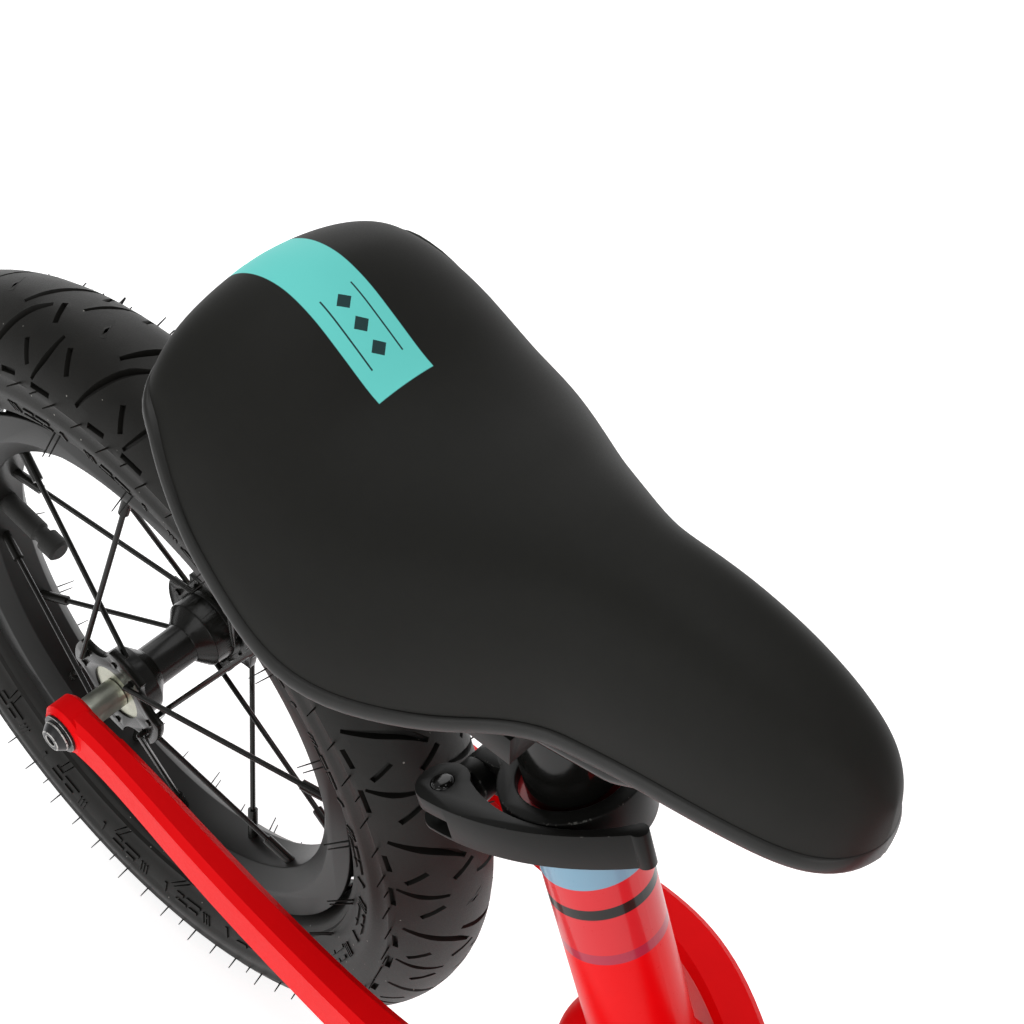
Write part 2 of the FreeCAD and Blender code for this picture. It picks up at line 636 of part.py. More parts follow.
lever_outline.Placement = pin_place.multiply(Placement(V(0, 0, -size(pin_half)), Rotation()))
lever_arm = doc.addObject("Part::Extrusion", "lever_arm")
lever_arm.Base = lever_outline
lever_arm.DirMode = "Normal"
lever_arm.setExpression("LengthFwd", bound("lever_height"))
lever_arm.Solid = True
lever_base = pin_place.multiply(Placement(V(0, 0, -size(pin_half)), Rotation()))
lever_head = rod("lever_head", "lever_head_radius", "lever_height", lever_base)
lever_bore = rod("lever_bore", f"{pin} + fit_gap", "lever_height", lever_base)
lever_slot = block("lever_slot", ("2 * lever_head_radius", "3 * lever_head_radius",
                                  "skewer_diameter + 1.2"),
                   pin_place.multiply(Placement(V(0, 0, -2 - size("skewer_diameter / 2 + 0.6")),
                                                Rotation())))
keep("clamp_lever", cut("clamp_lever", fuse("lever_blank", lever_arm, lever_head),
                        lever_bore, lever_slot))

# ---------------------------------------------------------------- seatpost and saddle
keep("seatpost", ring("seatpost", "post_diameter / 2 - post_wall", "post_diameter / 2",
                      "post_low", "post_top", seat_place))

rail_place = Placement(V(on_seat(size("post_top")).x, 0, axle_height + size("rail_height")),
                       Rotation())
rail_radius = "rail_diameter / 2"


def rail_grooves(name):
    """Pair of rods in the rails' places, to cut their grooves."""
    turn = Rotation(V(0, 1, 0), 90)
    pair = []
    for number, side in enumerate((1, -1)):
        start = V(-30, side * size("rail_spacing / 2"), 0)
        pair.append(rod(f"{name}_{number}", f"{rail_radius} + fit_gap", "60",
                        rail_place.multiply(Placement(start, turn))))
    return pair


cradle = block("cradle", ("30", "rail_spacing + rail_diameter + 8", "10"),
               Placement(rail_place.Base - V(0, 0, 10.4), Rotation()))
cradle_neck = rod("cradle_neck", "post_diameter / 2 - post_wall - fit_gap", "20",
                  Placement(on_seat(size("post_top") - 16), seat_turn))
bolt_path = rod("bolt_path", "3.2", "40", Placement(rail_place.Base - V(0, 0, 24), Rotation()))
post_envelope = rod("post_envelope", "post_diameter / 2", "post_top",
                    Placement(on_seat(0), seat_turn))
cradle_plate = cut("cradle_plate", cradle, post_envelope)
keep("rail_clamp_lower", cut("rail_clamp_lower", fuse("cradle_blank", cradle_plate, cradle_neck),
                             *rail_grooves("lower_groove"), bolt_path))
keeper = block("keeper", ("26", "rail_spacing + rail_diameter + 6", "5.6"),
               Placement(rail_place.Base + V(0, 0, 0.4), Rotation()))
keep("rail_clamp_upper", cut("rail_clamp_upper", keeper, *rail_grooves("upper_groove"), bolt_path))
keep("rail_clamp_bolt", turned("rail_clamp_bolt", [
    ("0", "-18"), ("3", "-18"), ("3", "6"), ("5.5", "6"), ("5.5", "8.5"), ("0", "8.5")],
    rail_place))

# Saddle: (ahead of the rear axle, half width, rim's lower edge above the axle, crown height).
SADDLE_SECTIONS = [
    (66, 23, 197, 15),
    (74, 41, 194, 22),
    (85, 52, 188, 29),
    (100, 58, 177, 37),
    (119, 61, 167, 45),
    (140, 58, 160, 50),
    (162, 47, 159.5, 49),
    (185, 34.7, 159.5, 48),
    (207, 27.8, 160, 47),
    (227, 25.5, 161, 44),
    (245, 23.2, 161, 40),
    (259, 19.8, 161, 34),
    (269, 14.6, 161, 29),
    (275, 6.5, 161, 25),
]


def saddle_loft(label, outline):
    """Loft through one outline at each saddle section."""
    body = doc.addObject("PartDesign::Body", label)
    sketches = []
    for number, (ahead, half, edge, crown) in enumerate(SADDLE_SECTIONS):
        sketch = sketch_on(body, "YZ_Plane", f"{label}_section_{number}", str(ahead))
        draw_outline(sketch, outline(half, edge, crown))
        sketches.append(sketch)
    loft = body.newObject("PartDesign::AdditiveLoft", label + "_loft")
    loft.Profile = sketches[0]
    loft.Sections = sketches[1:]
    body.Placement = Placement(rear_axle, Rotation())
    return keep(label, body)


def base_outline(half, edge, crown):
    """Flat moulded base, as wide as the saddle."""
    return [(-half, edge), (half, edge), (half, f"{edge} + base_thick"),
            (-half, f"{edge} + base_thick")]


def cushion_outline(half, edge, crown):
    """Crowned cushion that sits on the base."""
    floor = f"{edge} + base_thick + running_gap"
    right = [(half, f"{edge} + {crown} * 0.42"), (half * 0.82, f"{edge} + {crown} * 0.82"),
             (half * 0.45, f"{edge} + {crown} * 0.985")]
    left = [(-across, height) for across, height in reversed(right)]
    return [(-half, floor), (half, floor)] + right + left


saddle_loft("saddle_base", base_outline)
saddle_loft("saddle_cushion", cushion_outline)

rails = []
for number, side in enumerate((1, -1)):
    middle = side * size("rail_spacing / 2")
    low = size("rail_height")
    corners = [rear_axle + V(246, side * 9, low + 11), rear_axle + V(212, middle * 0.85, low),
               rear_axle + V(188, middle, low), rear_axle + V(130, middle, low),
               rear_axle + V(104, middle, low + 23)]
    rails.append(swept(f"rail_{number}", corners, 12, rail_radius))
keep("saddle_rails", group("saddle_rails", rails))

# ---------------------------------------------------------------- fork
steerer = "steerer_diameter / 2"
crown_bulk = rod("crown_bulk", "crown_diameter / 2", "crown_height",
                 Placement(on_steer(size(CROWN_LOW)), steer_turn))
steerer_low = size(f"{CROWN_LOW} + 12")
steerer_seat = rod("steerer_seat", steerer, CROWN_TOP,
                   Placement(on_steer(steerer_low), steer_turn))
keep("fork_crown", cut("fork_crown", crown_bulk, steerer_seat))

cup_low = f"{CROWN_TOP} + running_gap"
cover_low = f"{HEAD_TOP} + cup_height + running_gap"
stem_low = f"{cover_low} + 8"
stem_top = f"{stem_low} + stem_height"
keep("steerer", ring("steerer", f"{steerer} - steerer_wall", steerer, f"{CROWN_LOW} + 12",
                     f"{stem_top} - 2", steer_place))


def fork_leg(label, side):
    """Curved fork leg with a flat dropout at the axle."""
    out = side * size("dropout_gap / 2 + dropout_thick / 2")
    spring = size(f"{CROWN_LOW} + crown_height / 2")
    top = on_steer(spring)
    shoulder = on_steer(spring - 4, 0, out)
    foot = front_axle + V(0, out, 0)
    down = (foot - shoulder).normalize()
    leg_end = foot - down * size("dropout_radius + 6")
    leg = swept(label + "_leg", [top, shoulder, leg_end], 24, "fork_leg_diameter / 2")
    tongue_turn = Rotation(V(0, 0, 1), V(0, 0, 0) - down)
    tongue = block(label + "_tongue", ("2 * dropout_radius", "dropout_thick", "dropout_radius + 14"),
                   Placement(foot, tongue_turn))
    boss = rod(label + "_boss", "dropout_radius", "dropout_thick",
               Placement(foot - V(0, size("dropout_thick / 2"), 0), wheel_turn))
    hole = rod(label + "_hole", "axle_bolt_diameter / 2 + 0.25", "3 * dropout_thick",
               Placement(foot - V(0, size("1.5 * dropout_thick"), 0), wheel_turn))
    keep(label, cut(label, fuse(label + "_bulk", leg, tongue, boss), hole, crown_bulk))


fork_leg("fork_leg_left", 1)
fork_leg("fork_leg_right", -1)

# ---------------------------------------------------------------- headset and stem
cup_out, cup_in = "cup_diameter / 2", "cup_diameter / 2 - 3"
skirt = "head_tube_bore / 2"
bearing_in = f"{steerer} + fit_gap"
lower_cup = turned("lower_cup", [
    (cup_in, cup_low), (cup_out, cup_low), (cup_out, HEAD_START),
    (skirt, HEAD_START), (skirt, f"{HEAD_START} + 8"), (f"{skirt} - 2", f"{HEAD_START} + 8"),
    (f"{skirt} - 2", f"{HEAD_START} - 2"), (cup_in, f"{HEAD_START} - 2")], steer_place)
upper_cup = turned("upper_cup", [
    (cup_in, f"{HEAD_TOP} + cup_height"), (cup_out, f"{HEAD_TOP} + cup_height"), (cup_out, HEAD_TOP),
    (skirt, HEAD_TOP), (skirt, f"{HEAD_TOP} - 8"), (f"{skirt} - 2", f"{HEAD_TOP} - 8"),
    (f"{skirt} - 2", f"{HEAD_TOP} + 2"), (cup_in, f"{HEAD_TOP} + 2")], steer_place)
keep("headset_cups", group("headset_cups", [lower_cup, upper_cup]))
lower_race = ring("lower_race", bearing_in, cup_in, f"{cup_low} + 1", f"{HEAD_START} - 2",
                  steer_place)
upper_race = ring("upper_race", bearing_in, cup_in, f"{HEAD_TOP} + 2",
                  f"{HEAD_TOP} + cup_height - 1", steer_place)
keep("headset_bearings", group("headset_bearings", [lower_race, upper_race]))
keep("headset_cover", turned("headset_cover", [
    (steerer, cover_low), (cup_out, cover_low), (cup_out, f"{cover_low} + 2"),
    ("steerer_diameter / 2 + 3", f"{cover_low} + 4.5"), (steerer, f"{cover_low} + 4.5")],
    steer_place))
keep("headset_spacer", ring("headset_spacer", steerer, "steerer_diameter / 2 + 3",
                            f"{cover_low} + 4.5", stem_low, steer_place))

bar_centre = on_steer(size(f"{stem_low} + stem_height / 2"), size("stem_reach"))
bar_radius = "bar_diameter / 2"
clamp_out = "bar_diameter / 2 + 6"
stem_ring = rod("stem_ring", f"{steerer} + stem_wall", "stem_height",
                Placement(on_steer(size(stem_low)), steer_turn))
stem_neck = rod("stem_neck", "12", "stem_reach",
                Placement(on_steer(size(f"{stem_low} + stem_height / 2")),
                          steer_turn.multiply(Rotation(V(0, 1, 0), 90))))
bar_clamp_place = Placement(bar_centre - V(0, size("bar_clamp_width / 2"), 0), wheel_turn)
bar_clamp = rod("bar_clamp", clamp_out, "bar_clamp_width", bar_clamp_place)
stem_bore = rod("stem_bore", steerer, "stem_height", Placement(on_steer(size(stem_low)), steer_turn))
bar_bore = rod("bar_bore", bar_radius, "bar_clamp_width", bar_clamp_place)
plate_zone = block("plate_zone", (clamp_out, "bar_clamp_width", f"2 * ({clamp_out})"),
                   Placement(bar_centre, steer_turn).multiply(
                       Placement(V(size(clamp_out) / 2, 0, -size(clamp_out)), Rotation())))
split_zone = block("split_zone", (f"{clamp_out} + 2", "bar_clamp_width", f"2 * ({clamp_out})"),
                   Placement(bar_centre, steer_turn).multiply(
                       Placement(V(size(clamp_out) / 2, 0, -size(clamp_out)), Rotation())))
stem_blank = fuse("stem_blank", stem_ring, stem_neck, bar_clamp)
keep("stem", cut("stem", stem_blank, stem_bore, bar_bore, split_zone))
plate_blank = doc.addObject("Part::Common", "plate_blank")
plate_blank.Base = rod("plate_round", clamp_out, "bar_clamp_width", bar_clamp_place)
plate_blank.Tool = plate_zone
keep("stem_face_plate", cut("stem_face_plate", plate_blank, bar_bore))

stem_bolts = []
for number, (up, left) in enumerate(((1, 1), (1, -1), (-1, 1), (-1, -1))):
    offset = steer_turn.multVec(V(3, 0, up * size("bar_diameter / 2 + 3")))
    spot = bar_centre + offset + V(0, left * size("bar_clamp_width / 2 - 7"), 0)
    ahead = steer_turn.multiply(Rotation(V(0, 1, 0), 90))
    stem_bolts.append(turned(f"stem_bolt_{number}", [
        ("0", "4.5"), ("3", "4.5"), ("4", "5.5"), ("4", "9"), ("1.5", "9"), ("1.5", "7"),
        ("0", "7")], Placement(spot, ahead)))
keep("stem_bolts", group("stem_bolts", stem_bolts))

keep("top_cap", turned("top_cap", [
    ("3.2", stem_top), (f"{steerer} + 4", stem_top), (f"{steerer} + 4", f"{stem_top} + 2"),
    (f"{steerer} + 1", f"{stem_top} + cap_thick"), ("3.2", f"{stem_top} + cap_thick")],
    steer_place))
keep("top_cap_bolt", turned("top_cap_bolt", [
    ("0", f"{stem_top} - 25"), ("3", f"{stem_top} - 25"), ("3", f"{stem_top} + cap_thick"),
    ("5", f"{stem_top} + cap_thick"), ("5", f"{stem_top} + cap_thick + 3"),
    ("0", f"{stem_top} + cap_thick + 3")], steer_place))

# ---------------------------------------------------------------- handlebar and grips
half_width, rise = size("bar_half_width"), size("bar_rise")
bar_half = [(48, 0, 0), (98, rise, -5), (half_width, rise, -22)]
bar_corners = [bar_centre + V(back, -left, up) for left, up, back in reversed(bar_half)]
bar_corners += [bar_centre + V(back, left, up) for left, up, back in bar_half]
bar_outside = swept("bar_outside", bar_corners, 30, bar_radius)
bar_inside = swept("bar_inside", bar_corners, 30, "bar_diameter / 2 - bar_wall")
keep("handlebar", cut("handlebar", bar_outside, bar_inside))

for label, tip, bend in (("grip_left", bar_corners[-1], bar_corners[-2]),
                         ("grip_right", bar_corners[0], bar_corners[1])):
    outward = Rotation(V(0, 0, 1), tip - bend)
    inner, outer = "bar_diameter / 2 + fit_gap", "bar_diameter / 2 + grip_wall"
    keep(label, turned(label, [
        (inner, "-grip_length"), (f"{outer} + 4", "-grip_length"),
        (f"{outer} + 4", "3 - grip_length"), (outer, "5 - grip_length"),
        (outer, "-6"), (f"{outer} + 2.5", "-3"), (f"{outer} + 2.5", "2"), (f"{outer} - 1", "5"),
        ("0", "5"), ("0", "running_gap"), (inner, "running_gap")], Placement(tip, outward)))

# ---------------------------------------------------------------- check and write
doc.recompute()
for thing in doc.Objects:
    if "Invalid" in thing.State or "Error" in thing.State:
        raise RuntimeError(f"{thing.Name} failed: {thing.State}")
for label, thing in nodes.items():
    if thing.Shape.isNull() or not thing.Shape.isValid():
        raise RuntimeError(f"{label} has no valid shape")

os.makedirs("parts", exist_ok=True)
for label, thing in nodes.items():
    thing.Shape.exportStep(f"parts/{label}.step")
    box = thing.Shape.BoundBox
    print(f"{label}: {len(thing.Shape.Solids)} solid(s), {thing.Shape.Volume / 1000:.2f} cm3, "
          f"x {box.XMin:.0f}..{box.XMax:.0f}, y {box.YMin:.0f}..{box.YMax:.0f}, "
          f"z {box.ZMin:.0f}..{box.ZMax:.0f}")
print(len(nodes), "nodes")
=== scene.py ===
# %% [markdown]
# # The looks of a child's balance bike
# The bike's working parts come from its CAD model: tubes, axles, clamps and joints.
# This lesson gives them their looks. Pieces whose CAD shape is right get a finish, or a copy
# with softened edges; the saddle and the tyres are modelled anew.

# %% Load the frame
import json
import math

import bpy
from mathutils import Matrix, Vector

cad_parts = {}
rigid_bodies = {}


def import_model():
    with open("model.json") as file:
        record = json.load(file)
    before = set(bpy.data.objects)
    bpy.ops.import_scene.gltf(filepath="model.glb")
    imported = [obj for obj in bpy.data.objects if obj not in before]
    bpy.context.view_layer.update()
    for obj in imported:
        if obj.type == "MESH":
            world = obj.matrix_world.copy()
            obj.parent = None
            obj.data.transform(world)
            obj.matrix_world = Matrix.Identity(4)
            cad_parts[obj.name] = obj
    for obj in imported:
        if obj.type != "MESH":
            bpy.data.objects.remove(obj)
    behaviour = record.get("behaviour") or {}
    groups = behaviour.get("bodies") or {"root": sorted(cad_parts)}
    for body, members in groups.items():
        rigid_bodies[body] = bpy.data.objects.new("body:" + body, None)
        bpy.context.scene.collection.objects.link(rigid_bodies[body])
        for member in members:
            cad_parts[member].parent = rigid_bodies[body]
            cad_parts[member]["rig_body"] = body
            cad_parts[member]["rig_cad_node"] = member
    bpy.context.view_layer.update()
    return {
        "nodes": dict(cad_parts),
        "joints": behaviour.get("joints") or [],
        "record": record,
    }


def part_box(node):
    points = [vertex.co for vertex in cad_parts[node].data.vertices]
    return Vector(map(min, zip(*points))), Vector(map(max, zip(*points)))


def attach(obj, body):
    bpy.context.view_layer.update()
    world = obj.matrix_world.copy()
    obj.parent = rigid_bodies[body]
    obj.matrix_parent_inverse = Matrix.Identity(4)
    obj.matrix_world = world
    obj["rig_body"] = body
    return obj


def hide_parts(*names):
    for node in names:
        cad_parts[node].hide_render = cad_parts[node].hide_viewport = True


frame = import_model()
MM = 0.001
PER_METRE = 1000.0

# %% [markdown]
# ## Where the main axes run
# Everything is placed from the CAD pieces. A wheel's axle is the middle of its tyre. A tilted
# tube has a foot at axle height and a direction, so a height along the tube is one number.

# %% Axes of the wheels and the seat tube
def middle(node):
    """Centre of a CAD node's box."""
    low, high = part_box(node)
    return (low + high) / 2


rear_axle = middle("tyre_rear")
front_axle = middle("tyre_front")
joints = {joint["name"]: joint for joint in frame["joints"]}
seat_up = Vector(joints["seatpost_height"]["axis"]).normalized()
SEAT_AHEAD = 222 * MM
seat_foot = rear_axle + Vector((SEAT_AHEAD, 0, 0))
print("rear axle", [round(v, 4) for v in rear_axle])
print("seat foot", [round(v, 4) for v in seat_foot])


# %% [markdown]
# ## Camera, floor and light
# The camera stands to the right, above and ahead of the saddle, with a long lens. Its small
# shift keeps the saddle off the middle of the frame. The floor is nearly white and glows a
# little, as a lit studio sweep does, and three large soft lights give the broad, faint
# highlights of a matt black saddle.

# %% Camera
CAMERA_PLACE = (0.1037, -0.2587, 0.6981)
CAMERA_TURN = (42.03, 0.31, 44.01)
SENSOR_WIDTH, LENS = 36, 70.3
SHIFT = (0.0812, 0.0547)
bpy.ops.object.camera_add(location=CAMERA_PLACE,
                          rotation=[math.radians(angle) for angle in CAMERA_TURN])
camera = bpy.context.object
camera.name = "camera"
camera.data.sensor_width = SENSOR_WIDTH
camera.data.lens = LENS
camera.data.shift_x, camera.data.shift_y = SHIFT
camera.data.clip_start = 0.01
bpy.context.scene.camera = camera
bpy.context.scene.view_settings.view_transform = "Standard"
print("camera", [round(v, 3) for v in camera.location])


# %% Soft lights
def soft_light(name, place, aim, width, power):
    """Large square lamp that faces a point."""
    bpy.ops.object.light_add(type="AREA", location=place)
    lamp = bpy.context.object
    lamp.name = name
    lamp.data.shape = "SQUARE"
    lamp.data.size = width
    lamp.data.energy = power
    lamp.rotation_euler = (Vector(aim) - Vector(place)).to_track_quat("-Z", "Y").to_euler()
    return lamp


LIT_POINT = (-0.1, 0, 0.25)
# Each lamp's place and width in metres, and its power in watts.
LAMPS = {"lamp_above": ((-0.3, 0.3, 2.2), 1.6, 15), "lamp_behind": ((-1.6, 1.2, 1.0), 1.4, 9),
         "lamp_right": ((-0.5, -2.2, 1.0), 1.3, 12), "lamp_ahead": ((1.4, -1.2, 1.1), 1.2, 11)}
for lamp_name, (place, width, power) in LAMPS.items():
    soft_light(lamp_name, place, LIT_POINT, width, power)
print(len(LAMPS), "lamps")

# %% Even light from the room
ROOM_LIGHT = 0.40
world = bpy.data.worlds.new("studio")
bpy.context.scene.world = world
world.use_nodes = True
backdrop = world.node_tree.nodes["Background"]
backdrop.inputs["Color"].default_value = (1, 1, 1, 1)
backdrop.inputs["Strength"].default_value = ROOM_LIGHT
print("room light", ROOM_LIGHT)

# %% Floor
FLOOR_WIDTH, FLOOR_GLOW = 80, 0.62
bpy.ops.mesh.primitive_plane_add(size=FLOOR_WIDTH, location=(0, 0, 0))
floor = bpy.context.object
floor.name = "floor"
floor_paint = bpy.data.materials.new("floor_white")
floor_paint.use_nodes = True
floor_shader = floor_paint.node_tree.nodes["Principled BSDF"]
floor_shader.inputs["Base Color"].default_value = (0.92, 0.92, 0.92, 1)
floor_shader.inputs["Roughness"].default_value = 0.9
floor_shader.inputs["Specular IOR Level"].default_value = 0.1
floor_shader.inputs["Emission Color"].default_value = (1, 1, 1, 1)
floor_shader.inputs["Emission Strength"].default_value = FLOOR_GLOW
floor.data.materials.append(floor_paint)
print("floor", FLOOR_WIDTH, "m wide")

# %% [markdown]
# ## Helpers for modelling
# An operator acts on whatever is selected, so each helper first clears the selection. Faces
# and vertices are then picked in code, by their place.

# %% Selecting and finishing
def pick(*pieces):
    """Select only these, the last one active."""
    if bpy.context.object and bpy.context.object.mode != "OBJECT":
        bpy.ops.object.mode_set(mode="OBJECT")
    bpy.ops.object.select_all(action="DESELECT")
    for piece in pieces:
        piece.hide_set(False)
        piece.select_set(True)
    bpy.context.view_layer.objects.active = pieces[-1]
    return pieces[-1]


def apply_all(piece):
    """Apply every modifier of a piece, top first."""
    pick(piece)
    for modifier in list(piece.modifiers):
        bpy.ops.object.modifier_apply(modifier=modifier.name)
    return piece


def settle(piece, name, body, slot, *nodes, angle=40):
    """Give a finished piece its name and body, hide the nodes it stands in for, and fix its place in
    its mesh; the slot argument is not used.
    """
    pick(piece)
    bpy.ops.object.transform_apply(location=True, rotation=True, scale=True)
    bpy.ops.object.shade_smooth_by_angle(angle=math.radians(angle))
    piece.name = name
    piece.data.name = name
    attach(piece, body)
    if nodes:
        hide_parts(*nodes)
    return piece


def joined(pieces):
    """One object from several."""
    pick(*pieces)
    bpy.ops.object.join()
    return bpy.context.object


def add_modifier(piece, kind, **settings):
    """Put a modifier on a piece and set it."""
    modifier = piece.modifiers.new(kind.title(), kind)
    for name, value in settings.items():
        setattr(modifier, name, value)
    return modifier


def faces_out(piece):
    """Turn every face outwards."""
    pick(piece)
    bpy.ops.object.mode_set(mode="EDIT")
    bpy.ops.mesh.select_all(action="SELECT")
    bpy.ops.mesh.remove_doubles(threshold=1e-6)
    bpy.ops.mesh.normals_make_consistent(inside=False)
    bpy.ops.object.mode_set(mode="OBJECT")
    return piece


# %% [markdown]
# A machined or welded piece is never knife-sharp. A copy of its CAD mesh is merged, its flat
# faces are joined, and a narrow bevel rounds each edge, so that light catches there.

# %% Softened copies of CAD pieces
node_slots = {part["node"]: part["material_slot"] for part in frame["record"]["subparts"]}
node_bodies = {node: body for body, members in frame["record"]["behaviour"]["bodies"].items()
               for node in members}
MERGE_WITHIN = 2e-6
FLAT_WITHIN, SHARP_FROM = math.radians(0.6), math.radians(30)


def softened(node, width, surface):
    """Copy of a CAD node with edges rounded by a width in millimetres, which stands for it."""
    piece = frame["nodes"][node].copy()
    piece.data = frame["nodes"][node].data.copy()
    bpy.context.scene.collection.objects.link(piece)
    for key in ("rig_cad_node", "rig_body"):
        if key in piece:
            del piece[key]
    piece.parent = None
    piece.matrix_world = Matrix.Identity(4)
    pick(piece)
    bpy.ops.object.mode_set(mode="EDIT")
    bpy.ops.mesh.select_all(action="SELECT")
    bpy.ops.mesh.remove_doubles(threshold=MERGE_WITHIN)
    bpy.ops.mesh.dissolve_limited(angle_limit=FLAT_WITHIN)
    bpy.ops.object.mode_set(mode="OBJECT")
    piece.data.materials.clear()
    # The bevel's faces take the second slot, so that they can be told apart and marked as worn.
    piece.data.materials.append(surface)
    piece.data.materials.append(surface)
    add_modifier(piece, "BEVEL", width=width * MM, segments=2, limit_method="ANGLE",
                 angle_limit=SHARP_FROM, material=1, use_clamp_overlap=True)
    apply_all(piece)
    worn = piece.data.attributes.new("worn", "FLOAT", "CORNER")
    for face in piece.data.polygons:
        for corner in face.loop_indices:
            worn.data[corner].value = float(face.material_index == 1)
        face.material_index = 0
    piece.data.materials.pop()
    return settle(piece, node + "_finished", node_bodies[node], node_slots[node], node, angle=50)


# %% [markdown]
# ## Effects that several finishes share
# Each effect is a node group with named inputs and outputs: fine grain, dust and worn edges.
# A finish places the group and sets its own values.

# %% Building a node group
def new_group(name, inputs, outputs):
    """Empty shader group with its sockets, and a way to add nodes to it."""
    tree = bpy.data.node_groups.new(name, "ShaderNodeTree")
    for label, kind, value in inputs:
        socket = tree.interface.new_socket(label, in_out="INPUT", socket_type=kind)
        if value is not None:
            socket.default_value = value
    for label, kind in outputs:
        tree.interface.new_socket(label, in_out="OUTPUT", socket_type=kind)
    start = tree.nodes.new("NodeGroupInput")
    end = tree.nodes.new("NodeGroupOutput")
    return tree, start, end


def add(tree, kind, links=(), **settings):
    """Add a node, set it, and join its inputs: links are (input, output socket or value)."""
    node = tree.nodes.new(kind)
    for name, value in settings.items():
        setattr(node, name, value)
    for key, source in links:
        if isinstance(source, bpy.types.NodeSocket):
            tree.links.new(source, node.inputs[key])
        else:
            node.inputs[key].default_value = source
    return node


def math_of(tree, operation, *values, clamp=False):
    """Result of a math node."""
    node = add(tree, "ShaderNodeMath", list(enumerate(values)), operation=operation)
    node.use_clamp = clamp
    return node.outputs[0]


FLOAT, COLOUR = "NodeSocketFloat", "NodeSocketColor"


# %% Grain: a fine random texture, as height and as a mask
def grain_group():
    """Noise whose cells have the given size in millimetres."""
    tree, start, end = new_group("grain", [("Size", FLOAT, 1.0), ("Contrast", FLOAT, 1.0)],
                                 [("Height", FLOAT), ("Mask", FLOAT)])
    place = add(tree, "ShaderNodeTexCoord").outputs["Object"]
    scale = math_of(tree, "DIVIDE", PER_METRE, start.outputs["Size"])
    fine = add(tree, "ShaderNodeTexNoise", [("Vector", place), ("Scale", scale), ("Detail", 4.0),
                                            ("Roughness", 0.6)])
    centred = math_of(tree, "SUBTRACT", fine.outputs["Fac"], 0.5)
    strong = math_of(tree, "MULTIPLY_ADD", centred, start.outputs["Contrast"], 0.5, clamp=True)
    tree.links.new(strong, end.inputs["Height"])
    tree.links.new(strong, end.inputs["Mask"])
    return tree


grain = grain_group()
print(grain.name, len(grain.nodes), "nodes")


# %% Dust: pale specks and a thin film
SPECK_CELLS, SPECK_REACH, SPECK_COVER = 420.0, 0.13, 0.55
PATCH_SCALE, PATCH_START = 22.0, 0.35
FILM_SCALE = 60.0
DUST_COLOUR = (0.36, 0.35, 0.32, 1)


def dust_group():
    """Dust laid over a colour: specks gather in patches, and the film is cloudy."""
    tree, start, end = new_group("dust", [("Color", COLOUR, (0.02, 0.02, 0.02, 1)),
                                          ("Specks", FLOAT, 0.5), ("Film", FLOAT, 0.1),
                                          ("Speck Size", FLOAT, 1.0)], [("Color", COLOUR)])
    place = add(tree, "ShaderNodeTexCoord").outputs["Object"]
    scale = math_of(tree, "DIVIDE", SPECK_CELLS, start.outputs["Speck Size"])
    cells = add(tree, "ShaderNodeTexVoronoi", [("Vector", place), ("Scale", scale)])
    near = math_of(tree, "LESS_THAN", cells.outputs["Distance"], SPECK_REACH)
    chance = add(tree, "ShaderNodeTexWhiteNoise", [("Vector", cells.outputs["Position"])])
    patches = add(tree, "ShaderNodeTexNoise", [("Vector", place), ("Scale", PATCH_SCALE),
                                               ("Detail", 2.0)])
    often = math_of(tree, "MULTIPLY", start.outputs["Specks"],
                    math_of(tree, "SUBTRACT", patches.outputs["Fac"], PATCH_START, clamp=True))
    some = math_of(tree, "LESS_THAN", chance.outputs["Value"], often)
    speck = math_of(tree, "MULTIPLY", math_of(tree, "MULTIPLY", near, some), SPECK_COVER)
    cloud = add(tree, "ShaderNodeTexNoise", [("Vector", place), ("Scale", FILM_SCALE),
                                             ("Detail", 5.0)])
    film = math_of(tree, "MULTIPLY", cloud.outputs["Fac"], start.outputs["Film"])
    both = math_of(tree, "ADD", speck, film, clamp=True)
    mixed = add(tree, "ShaderNodeMix", data_type="RGBA")
    tree.links.new(both, mixed.inputs["Factor"])
    tree.links.new(start.outputs["Color"], mixed.inputs["A"])
    mixed.inputs["B"].default_value = DUST_COLOUR
    tree.links.new(mixed.outputs["Result"], end.inputs["Color"])
    return tree


dust = dust_group()
print(dust.name, len(dust.nodes), "nodes")


# %% Worn edges: the bevels that softened() marked, broken up by noise
WEAR_FINE, WEAR_BROAD, BROAD_SHARE = 1100.0, 90.0, 0.7
WEAR_LEVEL, WEAR_CONTRAST = 1.25, 9.0


def wear_group():
    """Mask of the worn spots; a larger amount bares more of each edge."""
    tree, start, end = new_group("edge_wear", [("Amount", FLOAT, 0.5)], [("Mask", FLOAT)])
    place = add(tree, "ShaderNodeTexCoord").outputs["Object"]
    edge = add(tree, "ShaderNodeAttribute", attribute_name="worn").outputs["Fac"]
    fine = add(tree, "ShaderNodeTexNoise", [("Vector", place), ("Scale", WEAR_FINE), ("Detail", 3.0)])
    broad = add(tree, "ShaderNodeTexNoise", [("Vector", place), ("Scale", WEAR_BROAD), ("Detail", 2.0)])
    both = math_of(tree, "ADD", fine.outputs["Fac"],
                   math_of(tree, "MULTIPLY", broad.outputs["Fac"], BROAD_SHARE))
    over = math_of(tree, "SUBTRACT", both,
                   math_of(tree, "SUBTRACT", WEAR_LEVEL, start.outputs["Amount"]))
    keep = math_of(tree, "MULTIPLY", over, WEAR_CONTRAST, clamp=True)
    tree.links.new(math_of(tree, "MULTIPLY", edge, keep, clamp=True), end.inputs["Mask"])
    return tree


wear = wear_group()
print(wear.name, len(wear.nodes), "nodes")


# %% [markdown]
# ## Finishes
# A finish starts from a Principled shader with its fixed values on its own sockets. The
# groups then vary its colour and roughness and put a fine relief in its bump.

